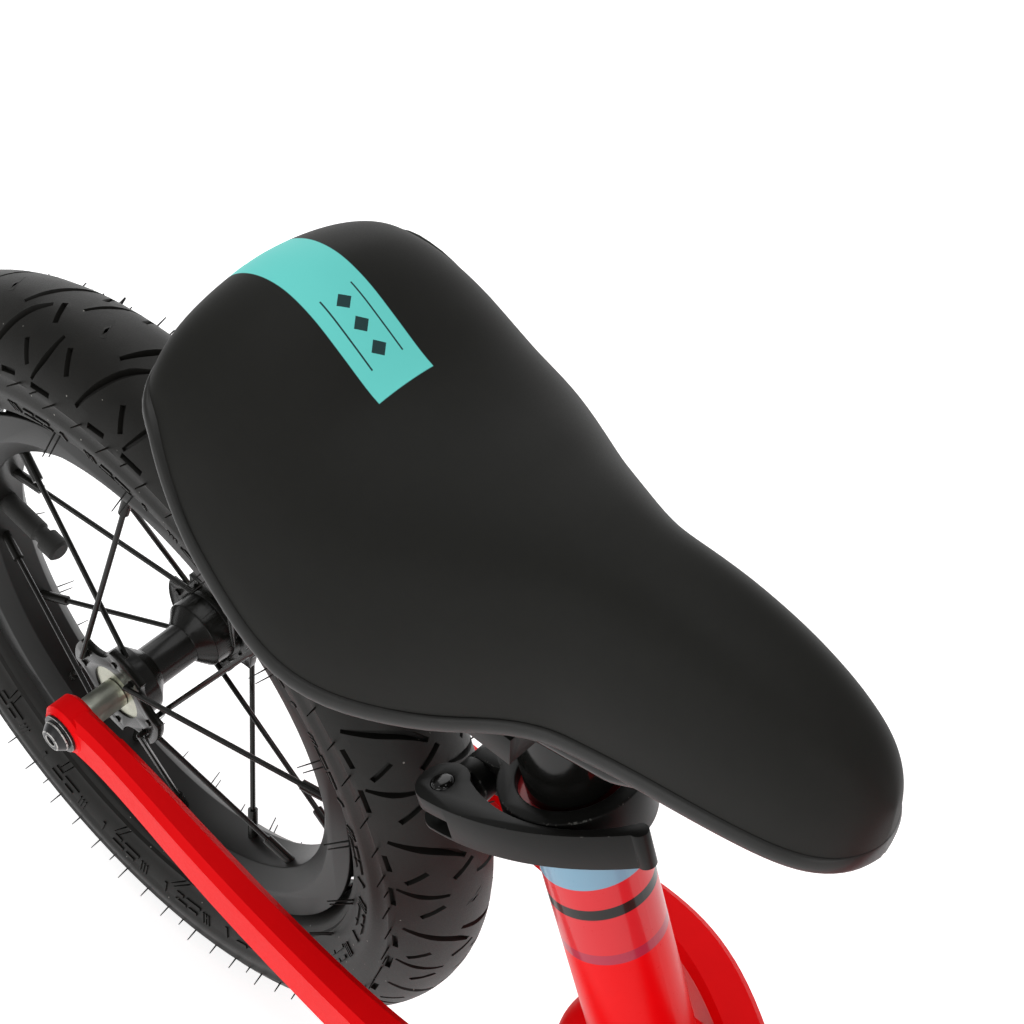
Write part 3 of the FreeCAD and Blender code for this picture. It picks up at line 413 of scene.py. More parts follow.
# %% A finish with grain, dust and bump
# The broad grain is this many times the fine one's size, and has its own contrast.
BROAD_STEP, BROAD_CONTRAST = 14, 1.6
ROUGH_RANGE = (0.88, 1.12)


def finish(name, color, roughness, size=0.4, relief=0.02, variation=0.1, specks=0.0, film=0.0,
           worn=None, contrast=2.0, **fixed):
    """Material whose colour, roughness and bump vary at the size of its grain, in millimetres."""
    material = bpy.data.materials.new(name)
    material.use_nodes = True
    tree = material.node_tree
    shader = tree.nodes["Principled BSDF"]
    for socket, value in fixed.items():
        shader.inputs[socket.replace("_", " ")].default_value = value
    texture = add(tree, "ShaderNodeGroup", node_tree=grain)
    texture.inputs["Size"].default_value = size
    texture.inputs["Contrast"].default_value = contrast
    broad = add(tree, "ShaderNodeGroup", node_tree=grain)
    broad.inputs["Size"].default_value = size * BROAD_STEP
    broad.inputs["Contrast"].default_value = BROAD_CONTRAST
    tint = add(tree, "ShaderNodeMix", data_type="RGBA", blend_type="MULTIPLY")
    tint.inputs["Factor"].default_value = 1.0
    tint.inputs["A"].default_value = (*color, 1)
    shade = add(tree, "ShaderNodeMapRange", [("Value", broad.outputs["Mask"]),
                                             ("To Min", 1 - variation), ("To Max", 1 + variation)])
    tree.links.new(shade.outputs["Result"], tint.inputs["B"])
    last = tint.outputs["Result"]
    if specks or film:
        dirt = add(tree, "ShaderNodeGroup", node_tree=dust)
        dirt.inputs["Specks"].default_value = specks
        dirt.inputs["Film"].default_value = film
        tree.links.new(last, dirt.inputs["Color"])
        last = dirt.outputs["Color"]
    rough = add(tree, "ShaderNodeMapRange", [("Value", texture.outputs["Mask"]),
                                             ("To Min", roughness * ROUGH_RANGE[0]),
                                             ("To Max", min(1.0, roughness * ROUGH_RANGE[1]))])
    if worn:
        edges = add(tree, "ShaderNodeGroup", node_tree=wear)
        edges.inputs["Amount"].default_value = worn[0]
        bare = add(tree, "ShaderNodeMix", data_type="RGBA")
        tree.links.new(edges.outputs["Mask"], bare.inputs["Factor"])
        tree.links.new(last, bare.inputs["A"])
        bare.inputs["B"].default_value = (*worn[1], 1)
        last = bare.outputs["Result"]
    tree.links.new(last, shader.inputs["Base Color"])
    tree.links.new(rough.outputs["Result"], shader.inputs["Roughness"])
    bump = add(tree, "ShaderNodeBump", [("Height", texture.outputs["Height"]), ("Strength", 1.0),
                                        ("Distance", relief * MM)])
    tree.links.new(bump.outputs["Normal"], shader.inputs["Normal"])
    return material


# %% Paints
RED = (0.80, 0.001, 0.003)
red_paint = finish("red_satin_paint", RED, 0.45, size=1.1, relief=0.012,
                   variation=0.03, Specular_IOR_Level=0.06)
decal_paint = finish("red_with_decal", RED, 0.3, size=1.1, relief=0.008,
                     variation=0.03, Specular_IOR_Level=0.12, Coat_Roughness=0.06)
black_alloy = finish("black_anodised", (0.0075, 0.0075, 0.0068), 0.40, size=0.25, relief=0.01,
                     worn=(0.30, (0.11, 0.11, 0.10)), film=0.004, Specular_IOR_Level=0.16)
black_gloss = finish("black_gloss_paint", (0.005, 0.005, 0.0045), 0.12, size=1.5, relief=0.004,
                     Specular_IOR_Level=0.35)
black_plastic = finish("moulded_black", (0.014, 0.014, 0.013), 0.42, size=0.35, relief=0.012,
                       film=0.006, Specular_IOR_Level=0.28)
print(len(bpy.data.materials), "materials so far")

# %% Metals, rubbers and the saddle's cover
BRIGHT_METAL = (0.45, 0.44, 0.42)
dark_steel = finish("black_oxide_steel", (0.03, 0.03, 0.031), 0.35, size=0.3, relief=0.01,
                    worn=(0.5, BRIGHT_METAL), Metallic=0.7)
zinc = finish("zinc_plate", (0.62, 0.64, 0.55), 0.36, size=0.6, relief=0.01, variation=0.25,
              Metallic=1.0, contrast=3.0)
hub_paint = finish("hub_gloss_black", (0.006, 0.006, 0.005), 0.24, size=0.8, relief=0.01,
                   film=0.006, worn=(0.2, (0.1, 0.1, 0.095)), Specular_IOR_Level=0.25)
tyre_rubber = finish("tyre_rubber", (0.0068, 0.0065, 0.0055), 0.5, size=0.5, relief=0.02,
                     variation=0.25, specks=0.45, film=0.006, Specular_IOR_Level=0.2)
bearing_steel = finish("bearing_steel", (0.36, 0.36, 0.29), 0.3, size=0.5, relief=0.008,
                       variation=0.2, Metallic=1.0, contrast=3.0)
rim_black = finish("rim_satin_black", (0.007, 0.007, 0.0065), 0.38, size=0.5, relief=0.008,
                   film=0.006, Specular_IOR_Level=0.2)
soft_rubber = finish("soft_rubber", (0.014, 0.014, 0.013), 0.62, size=0.5, relief=0.04,
                     film=0.012, Specular_IOR_Level=0.3)
cover_black = finish("saddle_cover_black", (0.0125, 0.0125, 0.0112), 0.55, size=0.3, relief=0.005,
                     variation=0.05, film=0.005, Specular_IOR_Level=0.09)
print(len(bpy.data.materials), "materials so far")

# %% Each slot's finish, on every CAD node
FINISHES = {"red_paint": red_paint, "black_alloy": black_alloy, "black_plastic": black_plastic,
            "post_black": black_gloss, "fixing_steel": dark_steel, "zinc_steel": zinc,
            "hub_black": hub_paint, "tyre_rubber": tyre_rubber, "soft_rubber": soft_rubber,
            "saddle_cover": cover_black}
for node, piece in frame["nodes"].items():
    piece.data.materials.clear()
    piece.data.materials.append(FINISHES[node_slots[node]])
print(len(FINISHES), "finishes")

# %% [markdown]
# ## The saddle
# A moulded saddle is foam under a thin, smooth cover, on a stiff base whose rounded edge shows
# as a bead below a crease. Both are lofts: a sphere whose poles lie at the tail and the nose,
# with each of its rings moved to the saddle's section there. Smooth curves through a few
# stations give the half width, the height of the lower edge and the height of the top.

# %% A smooth curve through a few points
def smooth_curve(points):
    """Function of x that passes through (x, y) points without overshooting much."""
    xs = [x for x, _ in points]
    ys = [y for _, y in points]
    rise = [(ys[i + 1] - ys[i]) / (xs[i + 1] - xs[i]) for i in range(len(xs) - 1)]
    inner = [(a + b) / 2 if a * b > 0 else 0.0 for a, b in zip(rise, rise[1:])]
    slope = [rise[0]] + inner + [rise[-1]]

    def value(x):
        x = min(max(x, xs[0]), xs[-1])
        i = max(k for k in range(len(xs) - 1) if xs[k] <= x)
        width = xs[i + 1] - xs[i]
        t = (x - xs[i]) / width
        return ((2 * t**3 - 3 * t**2 + 1) * ys[i] + (t**3 - 2 * t**2 + t) * width * slope[i]
                + (3 * t**2 - 2 * t**3) * ys[i + 1] + (t**3 - t**2) * width * slope[i + 1])
    return value


print("halfway between 1 and 2:", smooth_curve([(0, 1), (1, 2)])(0.5))


# %% The saddle's three curves, in millimetres ahead of and above the rear axle
SADDLE_TAIL, SADDLE_NOSE = 63.9, 277.0
# The width over a half circle's gives a curve that closes round at both ends.
FULLNESS = smooth_curve([(SADDLE_TAIL, 200), (69, 214), (84, 176), (107.5, 147), (137, 124.5),
                         (169.7, 85.5), (202.4, 59.6), (232, 62.5), (255.3, 71.5), (270.3, 85),
                         (275.5, 92)])
LOWER_EDGE = smooth_curve([(SADDLE_TAIL, 211.5), (81, 199.4), (106, 175.7), (125, 160.8),
                           (145, 150.6), (162, 148), (190, 154.6), (223, 159.5),
                           (SADDLE_NOSE, 159.6)])
TOP = smooth_curve([(SADDLE_TAIL, 211.9), (70, 220), (79, 226), (89, 228), (100, 225), (111, 218),
                    (122.5, 210.3), (140, 205.5), (163, 205), (190, 206.5), (223, 206),
                    (250, 199.5), (275.5, 186.8)])
# The cushion stands back from the bead by this much, past the first twentieth of its length.
COVER_INSET, INSET_RUN = 1.2, 20


def half_width(ahead):
    """Half the cushion's width at a place along the saddle."""
    share = (ahead - SADDLE_TAIL) / (SADDLE_NOSE - SADDLE_TAIL)
    arc = math.sqrt(max(share * (1 - share), 0.0))
    return max(FULLNESS(ahead) * arc - COVER_INSET * min(share * INSET_RUN, 1), 0.0)


print("saddle", round(SADDLE_NOSE - SADDLE_TAIL, 1), "mm long")

# %% A loft between two poles
POLE = 1e-5


def loft(name, section, rings, around):
    """Sphere with poles at tail and nose, each vertex moved to section(ahead, turn)."""
    bpy.ops.mesh.primitive_uv_sphere_add(segments=around, ring_count=rings, radius=1,
                                         rotation=(0, math.pi / 2, 0))
    piece = bpy.context.object
    piece.name = name
    bpy.ops.object.transform_apply(rotation=True)
    for vertex in piece.data.vertices:
        share = (1 + max(-1.0, min(1.0, vertex.co.x))) / 2
        ahead = SADDLE_TAIL + (SADDLE_NOSE - SADDLE_TAIL) * share
        turn = math.atan2(vertex.co.z, vertex.co.y)
        across, up = section(ahead, turn)
        if share < POLE or share > 1 - POLE:
            across, up = 0, (section(ahead, 0)[1] + section(ahead, math.pi / 2)[1]) / 2
        vertex.co = rear_axle + Vector((ahead, across, up)) * MM
    return faces_out(piece)


# %% Lines and curves that cushion and base share
BEAD, BEAD_RUN = 6.2, 22
ARCH_RISE, ARCH_FULL_FROM = 7.5, 30
# The section is peaked at the tail and squarer over the middle and the nose.
SQUARENESS = smooth_curve([(SADDLE_TAIL, 1.7), (95, 1.75), (130, 2.1), (165, 2.4), (275.5, 2.4)])


def rounded(value, squareness):
    """Sine or cosine pressed towards a squarer section."""
    return math.copysign(abs(value) ** (2 / squareness), value)


def crease(ahead):
    """Height of the line where cover meets bead; the bead drops below the tail."""
    share = min((ahead - SADDLE_TAIL) / BEAD_RUN, 1)
    return LOWER_EDGE(ahead) + BEAD * (0.5 - 0.5 * math.cos(math.pi * share))


def arch(ahead, across):
    """Rise of the underside over the rails and their clamp; across runs from -1 to 1."""
    return ARCH_RISE * min(half_width(ahead) / ARCH_FULL_FROM, 1) * (1 - across * across)


print("underside rises by", arch(110, 0), "mm at most")

# %% Cushion
NOSE_RUN, NOSE_POWER = 14, 2.5
LEAST_CROWN, TUCK, UNDER_GAP = 0.3, 1.1, 0.2


def cushion_section(ahead, turn):
    """Crowned above the crease, tucked under below it."""
    edge, low = LOWER_EDGE(ahead), crease(ahead)
    nose = min(max((ahead - SADDLE_NOSE + NOSE_RUN) / NOSE_RUN, 0), 1)
    droop = 0.5 + 0.5 * math.sqrt(1 - nose ** NOSE_POWER)
    top = low + max((TOP(ahead) - low) * droop, LEAST_CROWN)
    reach, power = half_width(ahead), SQUARENESS(ahead)
    start = math.asin(min(1.0, ((low - edge) / (top - edge)) ** (power / 2)))
    if turn >= 0:
        part = min(turn, math.pi - turn) / (math.pi / 2)
        angle = start + (math.pi / 2 - start) * part
        side = 1 if turn <= math.pi / 2 else -1
        return (side * reach * rounded(math.cos(angle), power),
                edge + (top - edge) * rounded(math.sin(angle), power))
    tuck = TUCK * math.sin(min(-turn, math.pi + turn))
    brim = max(reach * rounded(math.cos(start), power) - tuck, 0)
    return brim * math.cos(turn), low + arch(ahead, math.cos(turn)) + UNDER_GAP


cushion = loft("saddle_cushion_finished", cushion_section, 72, 72)
print("cushion before swelling", len(cushion.data.vertices), "vertices")

# %% [markdown]
# The cover is drawn over the foam, which swells a little against it. A short cloth run with
# inside pressure does that, with the cover held along the crease. Each point may move by a
# millimetre at most, so the saddle keeps its moulded shape.

# %% Swell the cushion
SWELL_FRAMES, SWELL_PRESSURE, SWELL_CAP = 20, 4, 1.0 * MM
HELD_ABOVE_CREASE = 1.5


def swell(piece, held):
    """Blow a closed piece up like cloth, where held(place) is false, within the cap."""
    before = [vertex.co.copy() for vertex in piece.data.vertices]
    pins = piece.vertex_groups.new(name="held")
    pins.add([vertex.index for vertex in piece.data.vertices if held(vertex.co)], 1.0, "REPLACE")
    pick(piece)
    cloth = add_modifier(piece, "CLOTH")
    cloth.settings.quality = 5
    cloth.settings.vertex_group_mass = "held"
    cloth.settings.use_pressure = True
    cloth.settings.uniform_pressure_force = SWELL_PRESSURE
    cloth.settings.effector_weights.gravity = 0
    cloth.point_cache.frame_start, cloth.point_cache.frame_end = 1, SWELL_FRAMES
    for frame_number in range(1, SWELL_FRAMES + 1):
        bpy.context.scene.frame_set(frame_number)
    apply_all(piece)
    bpy.context.scene.frame_set(1)
    moves = []
    for vertex, old in zip(piece.data.vertices, before):
        move = vertex.co - old
        if move.length > SWELL_CAP:
            move *= SWELL_CAP / move.length
        vertex.co = old + move
        moves.append(move.length / MM)
    piece.vertex_groups.clear()
    print("swelled by up to", round(max(moves), 2), "mm, on average",
          round(sum(moves) / len(moves), 2))


def below_crease(place):
    """True for the cushion's underside and its rim."""
    at = (place - rear_axle) / MM
    return at.z < crease(at.x) + HELD_ABOVE_CREASE


swell(cushion, below_crease)
add_modifier(cushion, "SUBSURF", levels=1, render_levels=1)
apply_all(cushion)
print("cushion", len(cushion.data.vertices), "vertices, width",
      round(2 * max(half_width(ahead) for ahead in range(64, 275)), 1), "mm")

# %% Base with its bead
BEAD_WIDE, BEAD_OUT, BEAD_TURN = 4.6, 1.3, 40
SHELL_THICK, SHELL_SUNK, SHELL_STEEPNESS = 2.6, 0.1, 6


def base_section(ahead, turn):
    """Rounded bead at each side, arched shell between them."""
    low = crease(ahead)
    edge = low - BEAD
    reach = half_width(ahead) + min(half_width(ahead), BEAD_OUT)
    side = math.copysign(1, math.cos(turn))
    angle = abs(math.degrees(turn))
    angle = min(angle, 180 - angle)
    bead = min(BEAD_WIDE, reach)
    if turn >= 0:
        # Upper side, hidden under the cushion.
        across = math.cos(math.radians(angle))
        return side * max(reach - bead * 0.5, 0) * across, low - SHELL_SUNK + arch(ahead, across)
    if angle < BEAD_TURN:
        # The bead's outside turns from straight up to straight down.
        lean = math.radians(90 - angle * (180 / BEAD_TURN))
        return (side * (reach - bead * 0.5 + bead * 0.5 * math.cos(lean)),
                edge + BEAD / 2 + BEAD / 2 * math.sin(lean))
    share = (angle - BEAD_TURN) / (90 - BEAD_TURN)
    inner = (reach - bead) * (1 - share)
    rise = min(share * SHELL_STEEPNESS, 1)
    return side * inner, edge + rise * (BEAD - SHELL_THICK + arch(ahead, 1 - share))


base = loft("saddle_base_finished", base_section, 72, 96)
base.data.materials.append(black_plastic)
settle(base, "saddle_base_finished", "seatpost", "black_plastic", "saddle_base", angle=50)
print("base", len(base.data.vertices), "vertices")

# %% [markdown]
# The cover is a matt synthetic leather with a printed stripe that wraps over the tail. The
# stripe follows the piece's own coordinates: a band across the middle, two thin lines and a
# row of small diamonds between them.

# %% Helpers for printed colours
def mask_between(tree, value, low, high, soft=0.08):
    """1 where a value in millimetres lies between two others."""
    rising = add(tree, "ShaderNodeMapRange", [("Value", value), ("From Min", low - soft),
                                              ("From Max", low + soft)])
    falling = add(tree, "ShaderNodeMapRange", [("Value", value), ("From Min", high + soft),
                                               ("From Max", high - soft)])
    return math_of(tree, "MULTIPLY", rising.outputs["Result"], falling.outputs["Result"])


def paint_over(tree, color, mask, under):
    """Colour laid over what is under it, where the mask is 1."""
    mixed = add(tree, "ShaderNodeMix", data_type="RGBA")
    tree.links.new(mask, mixed.inputs["Factor"])
    tree.links.new(under, mixed.inputs["A"])
    mixed.inputs["B"].default_value = (*color, 1)
    return mixed.outputs["Result"]


def own_axes(tree, centre):
    """Object coordinates in millimetres from a point, as three sockets."""
    place = add(tree, "ShaderNodeTexCoord").outputs["Object"]
    moved = add(tree, "ShaderNodeVectorMath", [(0, place), (1, tuple(centre))], operation="SUBTRACT")
    scaled = add(tree, "ShaderNodeVectorMath", [(0, moved.outputs[0]), ("Scale", PER_METRE)],
                 operation="SCALE")
    return add(tree, "ShaderNodeSeparateXYZ", [("Vector", scaled.outputs[0])]).outputs


# %% Saddle cover with its stripe
# Millimetres aside from the middle, or ahead of the rear axle.
STRIPE_HALF, STRIPE_FRONT = 9.6, 123.5
MARKS_FROM, MARKS_TO = 99, 117
LINE_INNER, LINE_OUTER = 5.1, 5.6
DIAMOND_STEP, DIAMOND_HALF, DIAMOND_SQUASH = 6.0, 2.6, 1.3
PRINT_EDGE, LINE_EDGE = 0.12, 0.05
STRIPE_TEAL = (0.15, 0.66, 0.61)
MARK_INK = (0.02, 0.05, 0.05)


def stripe_on(material):
    """Print the stripe over a cover's colour."""
    tree = material.node_tree
    shader = tree.nodes["Principled BSDF"]
    under = shader.inputs["Base Color"].links[0].from_socket
    axes = own_axes(tree, rear_axle)
    ahead, aside = axes["X"], math_of(tree, "ABSOLUTE", axes["Y"])
    band = math_of(tree, "MULTIPLY", mask_between(tree, aside, -1, STRIPE_HALF, PRINT_EDGE),
                   mask_between(tree, ahead, 0, STRIPE_FRONT, PRINT_EDGE))
    color = paint_over(tree, STRIPE_TEAL, band, under)
    along = mask_between(tree, ahead, MARKS_FROM, MARKS_TO)
    line = mask_between(tree, aside, LINE_INNER, LINE_OUTER, LINE_EDGE)
    color = paint_over(tree, MARK_INK, math_of(tree, "MULTIPLY", line, along), color)
    start = math_of(tree, "SUBTRACT", ahead, float(MARKS_FROM))
    within = math_of(tree, "MODULO", start, DIAMOND_STEP)
    step = math_of(tree, "ABSOLUTE", math_of(tree, "SUBTRACT", within, DIAMOND_STEP / 2))
    wide = math_of(tree, "ADD", math_of(tree, "MULTIPLY", step, DIAMOND_SQUASH), aside)
    diamond = math_of(tree, "LESS_THAN", wide, DIAMOND_HALF)
    color = paint_over(tree, MARK_INK, math_of(tree, "MULTIPLY", diamond, along), color)
    tree.links.new(color, shader.inputs["Base Color"])


stripe_on(cover_black)
cushion.data.materials.append(cover_black)
settle(cushion, "saddle_cushion_finished", "seatpost", "saddle_cover", "saddle_cushion", angle=60)
print(cushion.name, "has", len(cushion.data.polygons), "faces")

# %% [markdown]
# ## The tyres
# A tread repeats around the wheel, so one pitch of it is cut flat and then wrapped: a slab is
# cut by tapered worms for the grooves and slits, divided so that it can bend, repeated twenty
# times and rolled into a ring. Thin rubber whiskers, left where a mould lets air out, stand on
# its shoulders and beside the rim.

# %% Sizes read from the CAD tyre
low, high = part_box("tyre_rear")
TYRE_RADIUS = (high.z - low.z) / 2 / MM
SECTION_RADIUS = (high.y - low.y) / 2 / MM
RING_RADIUS = TYRE_RADIUS - SECTION_RADIUS
PITCHES = 20
PITCH = 2 * math.pi * TYRE_RADIUS / PITCHES
TREAD_HALF = 30.0
BEAD_EDGE = 70.0
print("tyre", round(TYRE_RADIUS, 1), round(SECTION_RADIUS, 1), "pitch", round(PITCH, 2))

# %% The grooves of one pitch
# Each groove's radius, then its points as (along, across) on the flat pitch, in millimetres.
CURVED_GROOVES = [(1.5, [(4, -25), (9, -15), (14, -6.5), (19, -1.5)]),
                  (1.5, [(8, -5), (12.5, 3), (17, 13), (19.5, 25)]),
                  (1.25, [(28, -26), (31.5, -18), (33.5, -9)]),
                  (1.25, [(30, 2), (33.5, 11), (36.5, 23)])]
SLITS = [(1.15, [(24.5, -22.5), (20, -15)]), (1.15, [(26.5, -7), (22, 1)]),
         (1.15, [(28, 11.5), (24.5, 18)]), (1.15, [(43, -19), (38.5, -11)]),
         (1.15, [(44.5, -3), (40, 5)]), (1.15, [(45, 13.5), (41.8, 21)])]
SHOULDER_SLITS = [(1.1, [(6, 27.3), (13, 27.3)]), (1.1, [(24, 26), (31, 27.5)]),
                  (1.1, [(28, -27.8), (38, -27.8)]), (1.1, [(11, -27.6), (19, -27)])]
GROOVES = CURVED_GROOVES + SLITS + SHOULDER_SLITS
# A curved groove thins out to its ends, and a slit has blunt ones.
GROOVE_END, SLIT_END, GROOVE_DEPTH = 0.55, 0.9, 1.9
print(len(GROOVES), "grooves and slits")


# %% One groove cutter
def worm(radius, points):
    """Tapered tube along flat points, about twice as deep as wide."""
    bpy.ops.object.select_all(action="DESELECT")
    bpy.ops.curve.primitive_bezier_curve_add(enter_editmode=False, location=(0, 0, 0))
    piece = bpy.context.object
    piece.data.bevel_depth, piece.data.bevel_resolution = radius, 1
    piece.data.use_fill_caps = True
    spline = piece.data.splines[0]
    spline.resolution_u = 4
    spline.bezier_points.add(len(points) - len(spline.bezier_points))
    for place, (point, (along, across)) in enumerate(zip(spline.bezier_points, points)):
        point.co = (along, across, 0)
        point.handle_left_type = point.handle_right_type = "AUTO"
        point.radius = GROOVE_END if place in (0, len(points) - 1) else 1
    if len(points) == 2:
        spline.bezier_points[0].radius = spline.bezier_points[1].radius = SLIT_END
    pick(piece)
    bpy.ops.object.convert(target="MESH")
    piece = bpy.context.object
    piece.scale = (1, 1, GROOVE_DEPTH)
    bpy.ops.object.transform_apply(scale=True)
    return faces_out(piece)


# %% One pitch of tread, flat
TREAD_THICK = 4
bpy.ops.mesh.primitive_cube_add(size=1, location=(PITCH / 2, 0, -TREAD_THICK / 2),
                                scale=(PITCH, 2 * TREAD_HALF, TREAD_THICK))
tread = bpy.context.object
bpy.ops.object.transform_apply(location=True, scale=True)
cutter = joined([worm(radius, points) for radius, points in GROOVES])
pick(tread)
add_modifier(tread, "BOOLEAN", object=cutter, operation="DIFFERENCE", solver="EXACT",
             use_self=True)
apply_all(tread)
bpy.data.objects.remove(cutter)
print("cut tread", len(tread.data.polygons), "faces")


# %% Divide the slab so that it bends
def sliced(piece, axis, places):
    """Cut a flat piece across an axis at each place."""
    pick(piece)
    bpy.ops.object.mode_set(mode="EDIT")
    for place in places:
        bpy.ops.mesh.select_all(action="SELECT")
        bpy.ops.mesh.bisect(plane_co=[place if a == axis else 0 for a in range(3)],
                            plane_no=[1 if a == axis else 0 for a in range(3)])
    bpy.ops.object.mode_set(mode="OBJECT")


ALONG, ACROSS = 0, 1
BENDS, ROW = 12, 4.0
sliced(tread, ALONG, [PITCH * k / BENDS for k in range(1, BENDS)])
sliced(tread, ACROSS, [ROW * k for k in range(-7, 8)])
print("sliced tread", len(tread.data.polygons), "faces")


# %% Open the slab where it meets the next pitch and the side walls
def drop_faces(piece, unwanted):
    """Delete the faces whose centre a test picks."""
    pick(piece)
    bpy.ops.object.mode_set(mode="EDIT")
    bpy.ops.mesh.select_mode(type="FACE")
    bpy.ops.mesh.select_all(action="DESELECT")
    bpy.ops.object.mode_set(mode="OBJECT")
    for face in piece.data.polygons:
        face.select = unwanted(face.center, face.normal)
    bpy.ops.object.mode_set(mode="EDIT")
    bpy.ops.mesh.delete(type="FACE")
    bpy.ops.mesh.select_mode(type="VERT")
    bpy.ops.object.mode_set(mode="OBJECT")


def hidden(at, out):
    """True for the slab's bottom, ends and sides, which lie inside the finished tyre."""
    bottom = at.z < 0.1 - TREAD_THICK
    end = abs(out.x) > 0.99 and (at.x < 0.01 or at.x > PITCH - 0.01)
    return bottom or end or (abs(out.y) > 0.99 and abs(at.y) > TREAD_HALF - 0.01)


drop_faces(tread, hidden)
print("open tread", len(tread.data.polygons), "faces")

# %% Side walls with ribs on the same flat pitch
SIDE_STEPS = 26
WALL_SUNK = 0.9
RIBS, RIB_HEIGHT, RIB_HALF = (36, 38.4, 53.2, 57), 0.55, 0.9
sides = []
for side in (-1, 1):
    bpy.ops.mesh.primitive_grid_add(x_subdivisions=BENDS, y_subdivisions=SIDE_STEPS, size=1,
                                    location=(PITCH / 2, side * (TREAD_HALF + BEAD_EDGE) / 2, 0))
    wall = bpy.context.object
    wall.scale = (PITCH, BEAD_EDGE - TREAD_HALF, 1)
    bpy.ops.object.transform_apply(location=True, scale=True)
    print("side wall across", round(min(v.co.y for v in wall.data.vertices)),
          round(max(v.co.y for v in wall.data.vertices)))
    for vertex in wall.data.vertices:
        out = abs(vertex.co.y)
        lip = 0.0 if out < TREAD_HALF + 0.1 else -WALL_SUNK
        rib = sum(RIB_HEIGHT for place in RIBS if abs(out - place) < RIB_HALF)
        vertex.co.z = lip + rib
    sides.append(wall)

# %% Moulded blocks on the side walls
# Each block's place along and across, its length and its breadth.
BLOCKS = [(8, 43, 0.7, 5), (10, 43, 0.7, 5), (12, 43, 0.7, 5), (20, 42, 6, 1.3), (29, 42, 8, 1.3),
          (20, 45.5, 11, 1.3), (30, 45.5, 5, 1.3), (41, 43.5, 1.6, 4.4)]
BLOCK_MIDDLE, BLOCK_THICK = -0.75, 0.9
for side in (-1, 1):
    for along, across, length, breadth in BLOCKS:
        bpy.ops.mesh.primitive_cube_add(size=1, location=(along, side * across, BLOCK_MIDDLE),
                                        scale=(length, breadth, BLOCK_THICK))
        bpy.ops.object.transform_apply(location=True, scale=True)
        sides.append(bpy.context.object)
print(2 * len(BLOCKS), "blocks")

# %% Whiskers
# Each whisker's place along and across, and its length. The longest stand on the side walls.
WHISKERS = [(3, 29.3, 3), (14, 29.2, 4.5), (20, 29.4, 2.5), (36, 29.3, 5), (43, 29.2, 3),
            (8, -29.2, 4), (22, -29.3, 5), (31, -29.2, 2.5), (41, -29.4, 4.5), (22, 24, 2.5),
            (14, 52, 7), (17.5, 52, 9), (40, 52, 6), (26, -52, 8), (29.5, -52, 7)]
for along, across, length in WHISKERS:
    bpy.ops.mesh.primitive_cone_add(vertices=5, radius1=0.42, radius2=0.2, depth=length + 1,
                                    location=(along, across, (length - 1) / 2))
    bpy.ops.object.transform_apply(location=True)
    sides.append(bpy.context.object)
tread = joined(sides + [tread])
print("one pitch", len(tread.data.polygons), "faces")

# %% Repeat the pitch and roll it into a ring
WELD_WITHIN = 0.00004
add_modifier(tread, "ARRAY", count=PITCHES, use_relative_offset=False, use_constant_offset=True,
             constant_offset_displace=(PITCH, 0, 0))
apply_all(tread)


def rolled(point):
    """Flat place (along, across, height) on the ring, centred on the axle."""
    around, across = point.x / TYRE_RADIUS, point.y / SECTION_RADIUS
    out = SECTION_RADIUS + point.z
    reach = RING_RADIUS + out * math.cos(across)
    return Vector((reach * math.sin(around), out * math.sin(across), reach * math.cos(around))) * MM


for vertex in tread.data.vertices:
    vertex.co = rear_axle + rolled(vertex.co)
pick(tread)
bpy.ops.object.mode_set(mode="EDIT")
bpy.ops.mesh.select_all(action="SELECT")
bpy.ops.mesh.remove_doubles(threshold=WELD_WITHIN)
bpy.ops.object.mode_set(mode="OBJECT")
outward = sum((face.center - rear_axle).dot(face.normal) for face in tread.data.polygons)
print("tyre", len(tread.data.polygons), "faces, outward", round(outward, 3))
tread.data.materials.clear()
tread.data.materials.append(tyre_rubber)
settle(tread, "tyre_rear_finished", "rear_wheel", "tyre_rubber", "tyre_rear", angle=35)


# %% The front tyre is the same tyre
def twin(piece, name, body, node):
    """Copy of a rear wheel's piece at the front axle, with its own mesh."""
    copy = piece.copy()
    copy.data = piece.data.copy()
    bpy.context.scene.collection.objects.link(copy)
    for key in [key for key in copy.keys() if key.startswith("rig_")]:
        del copy[key]
    copy.parent = None
    copy.matrix_world = Matrix.Translation(front_axle - rear_axle)
    return settle(copy, name, body, node_slots[node], node, angle=35)


front_tyre = twin(tread, "tyre_front_finished", "front_wheel", "tyre_front")
print(front_tyre.name, len(front_tyre.data.polygons), "faces")

# %% [markdown]
# ## Frame paint and its rings
# The seat tube carries a clear decal with a blue field under the clamp, a black ring and a
# purple one. Each ring lies at a height along the tube, measured from axle height.

# %% Rings on the seat tube
FILM_START, FILM_END, FILM_COAT, RING_EDGE = 52.5, 200, 0.35, 0.1
FILM_RED = (0.66, 0.018, 0.025)
# Each ring's colour, start and end along the tube.
RINGS = {"purple": ((0.42, 0.022, 0.055), 52.5, 56.2), "black": ((0.012, 0.011, 0.010), 70.3, 74.1),
         "blue": ((0.20, 0.36, 0.48), 81.9, 97.2)}


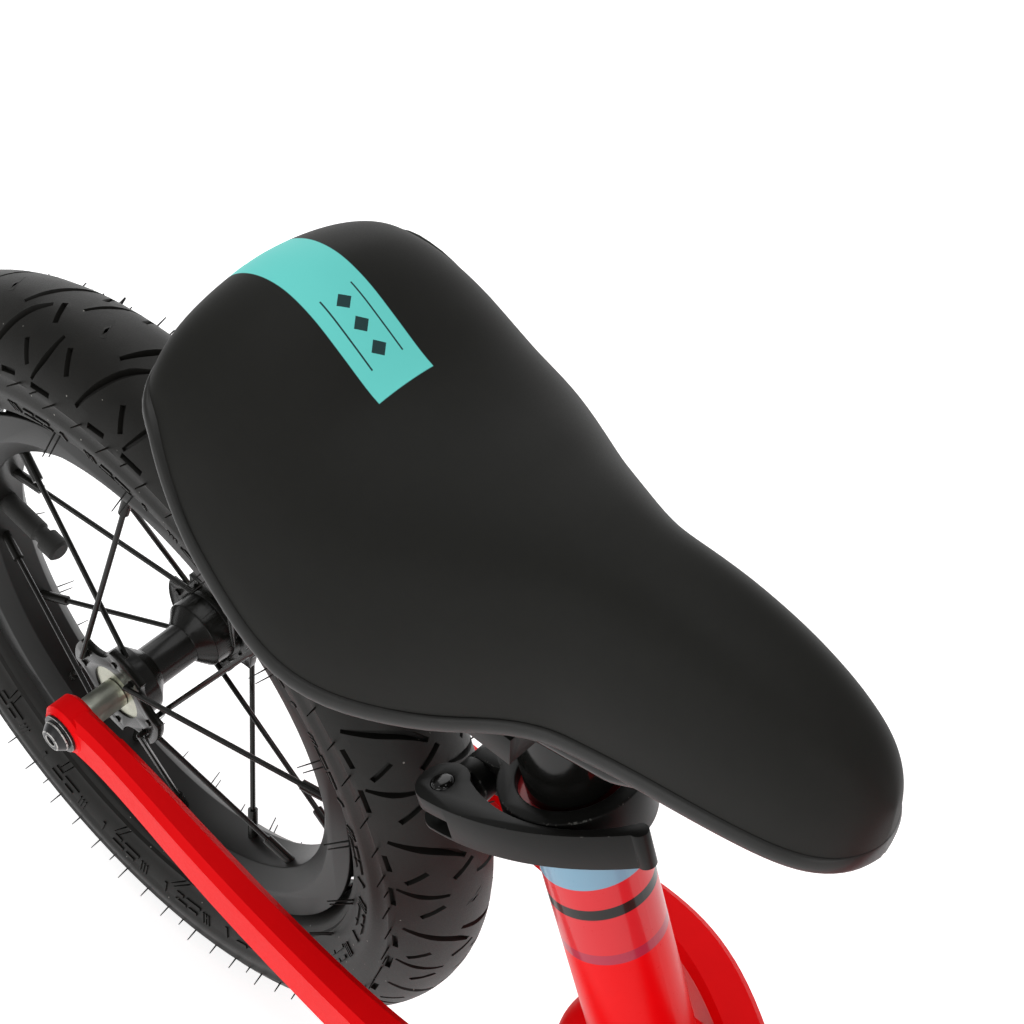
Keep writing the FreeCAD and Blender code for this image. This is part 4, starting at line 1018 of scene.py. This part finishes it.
def rings_on(material):
    """Print rings around the seat tube by the height along it."""
    tree = material.node_tree
    shader = tree.nodes["Principled BSDF"]
    under = shader.inputs["Base Color"].links[0].from_socket
    place = add(tree, "ShaderNodeTexCoord").outputs["Object"]
    away = add(tree, "ShaderNodeVectorMath", [(0, place), (1, tuple(seat_foot))], operation="SUBTRACT")
    along = add(tree, "ShaderNodeVectorMath",
                [(0, away.outputs[0]), (1, tuple(seat_up * PER_METRE))],
                operation="DOT_PRODUCT").outputs["Value"]
    film = mask_between(tree, along, FILM_START, FILM_END, RING_EDGE)
    color = paint_over(tree, FILM_RED, film, under)
    for ring_color, low_end, high_end in RINGS.values():
        ring = mask_between(tree, along, low_end, high_end, RING_EDGE)
        color = paint_over(tree, ring_color, ring, color)
    tree.links.new(color, shader.inputs["Base Color"])
    tree.links.new(math_of(tree, "MULTIPLY", film, FILM_COAT), shader.inputs["Coat Weight"])


rings_on(decal_paint)
print(len(RINGS), "rings")

# %% Nodes whose finish isn't their slot's
OWN_FINISH = {"bearings_rear": bearing_steel, "bearings_front": bearing_steel,
              "seat_tube": decal_paint}
for node, surface in OWN_FINISH.items():
    frame["nodes"][node].data.materials.clear()
    frame["nodes"][node].data.materials.append(surface)
print(len(OWN_FINISH), "nodes with a finish of their own")

# %% [markdown]
# ## Clamps, bolts and fittings
# Cast, forged and turned pieces keep their CAD shape. Each gets a copy with rounded edges,
# wider on a casting than on a turned bolt.

# %% Rounded edges
# Each node's edge width in millimetres, and its finish.
SOFTENED = {"clamp_collar": (0.7, black_alloy), "clamp_lever": (1.2, black_alloy),
            "clamp_nut": (0.5, black_alloy), "cam_washer": (0.4, black_alloy),
            "lever_pin": (1.0, black_gloss),
            "axle_bolts_rear": (0.3, dark_steel), "axle_bolts_front": (0.3, dark_steel),
            "axle_washers_rear": (0.15, dark_steel), "axle_washers_front": (0.15, dark_steel),
            "headset_cups": (0.5, black_alloy), "headset_cover": (0.5, black_alloy),
            "headset_spacer": (0.3, black_alloy), "stem": (1.0, black_alloy),
            "stem_face_plate": (0.8, black_alloy), "stem_bolts": (0.3, dark_steel),
            "top_cap": (0.5, black_alloy), "top_cap_bolt": (0.3, dark_steel),
            "rail_clamp_lower": (2.4, black_alloy), "rail_clamp_upper": (0.8, black_alloy),
            "rail_clamp_bolt": (0.3, dark_steel), "fork_crown": (1.2, red_paint),
            "hub_shell_rear": (0.4, hub_paint), "hub_shell_front": (0.4, hub_paint),
            "rim_rear": (0.4, rim_black), "rim_front": (0.4, rim_black)}
for node, (width, surface) in SOFTENED.items():
    piece = softened(node, width, surface)
    print(node, len(piece.data.polygons), "faces")
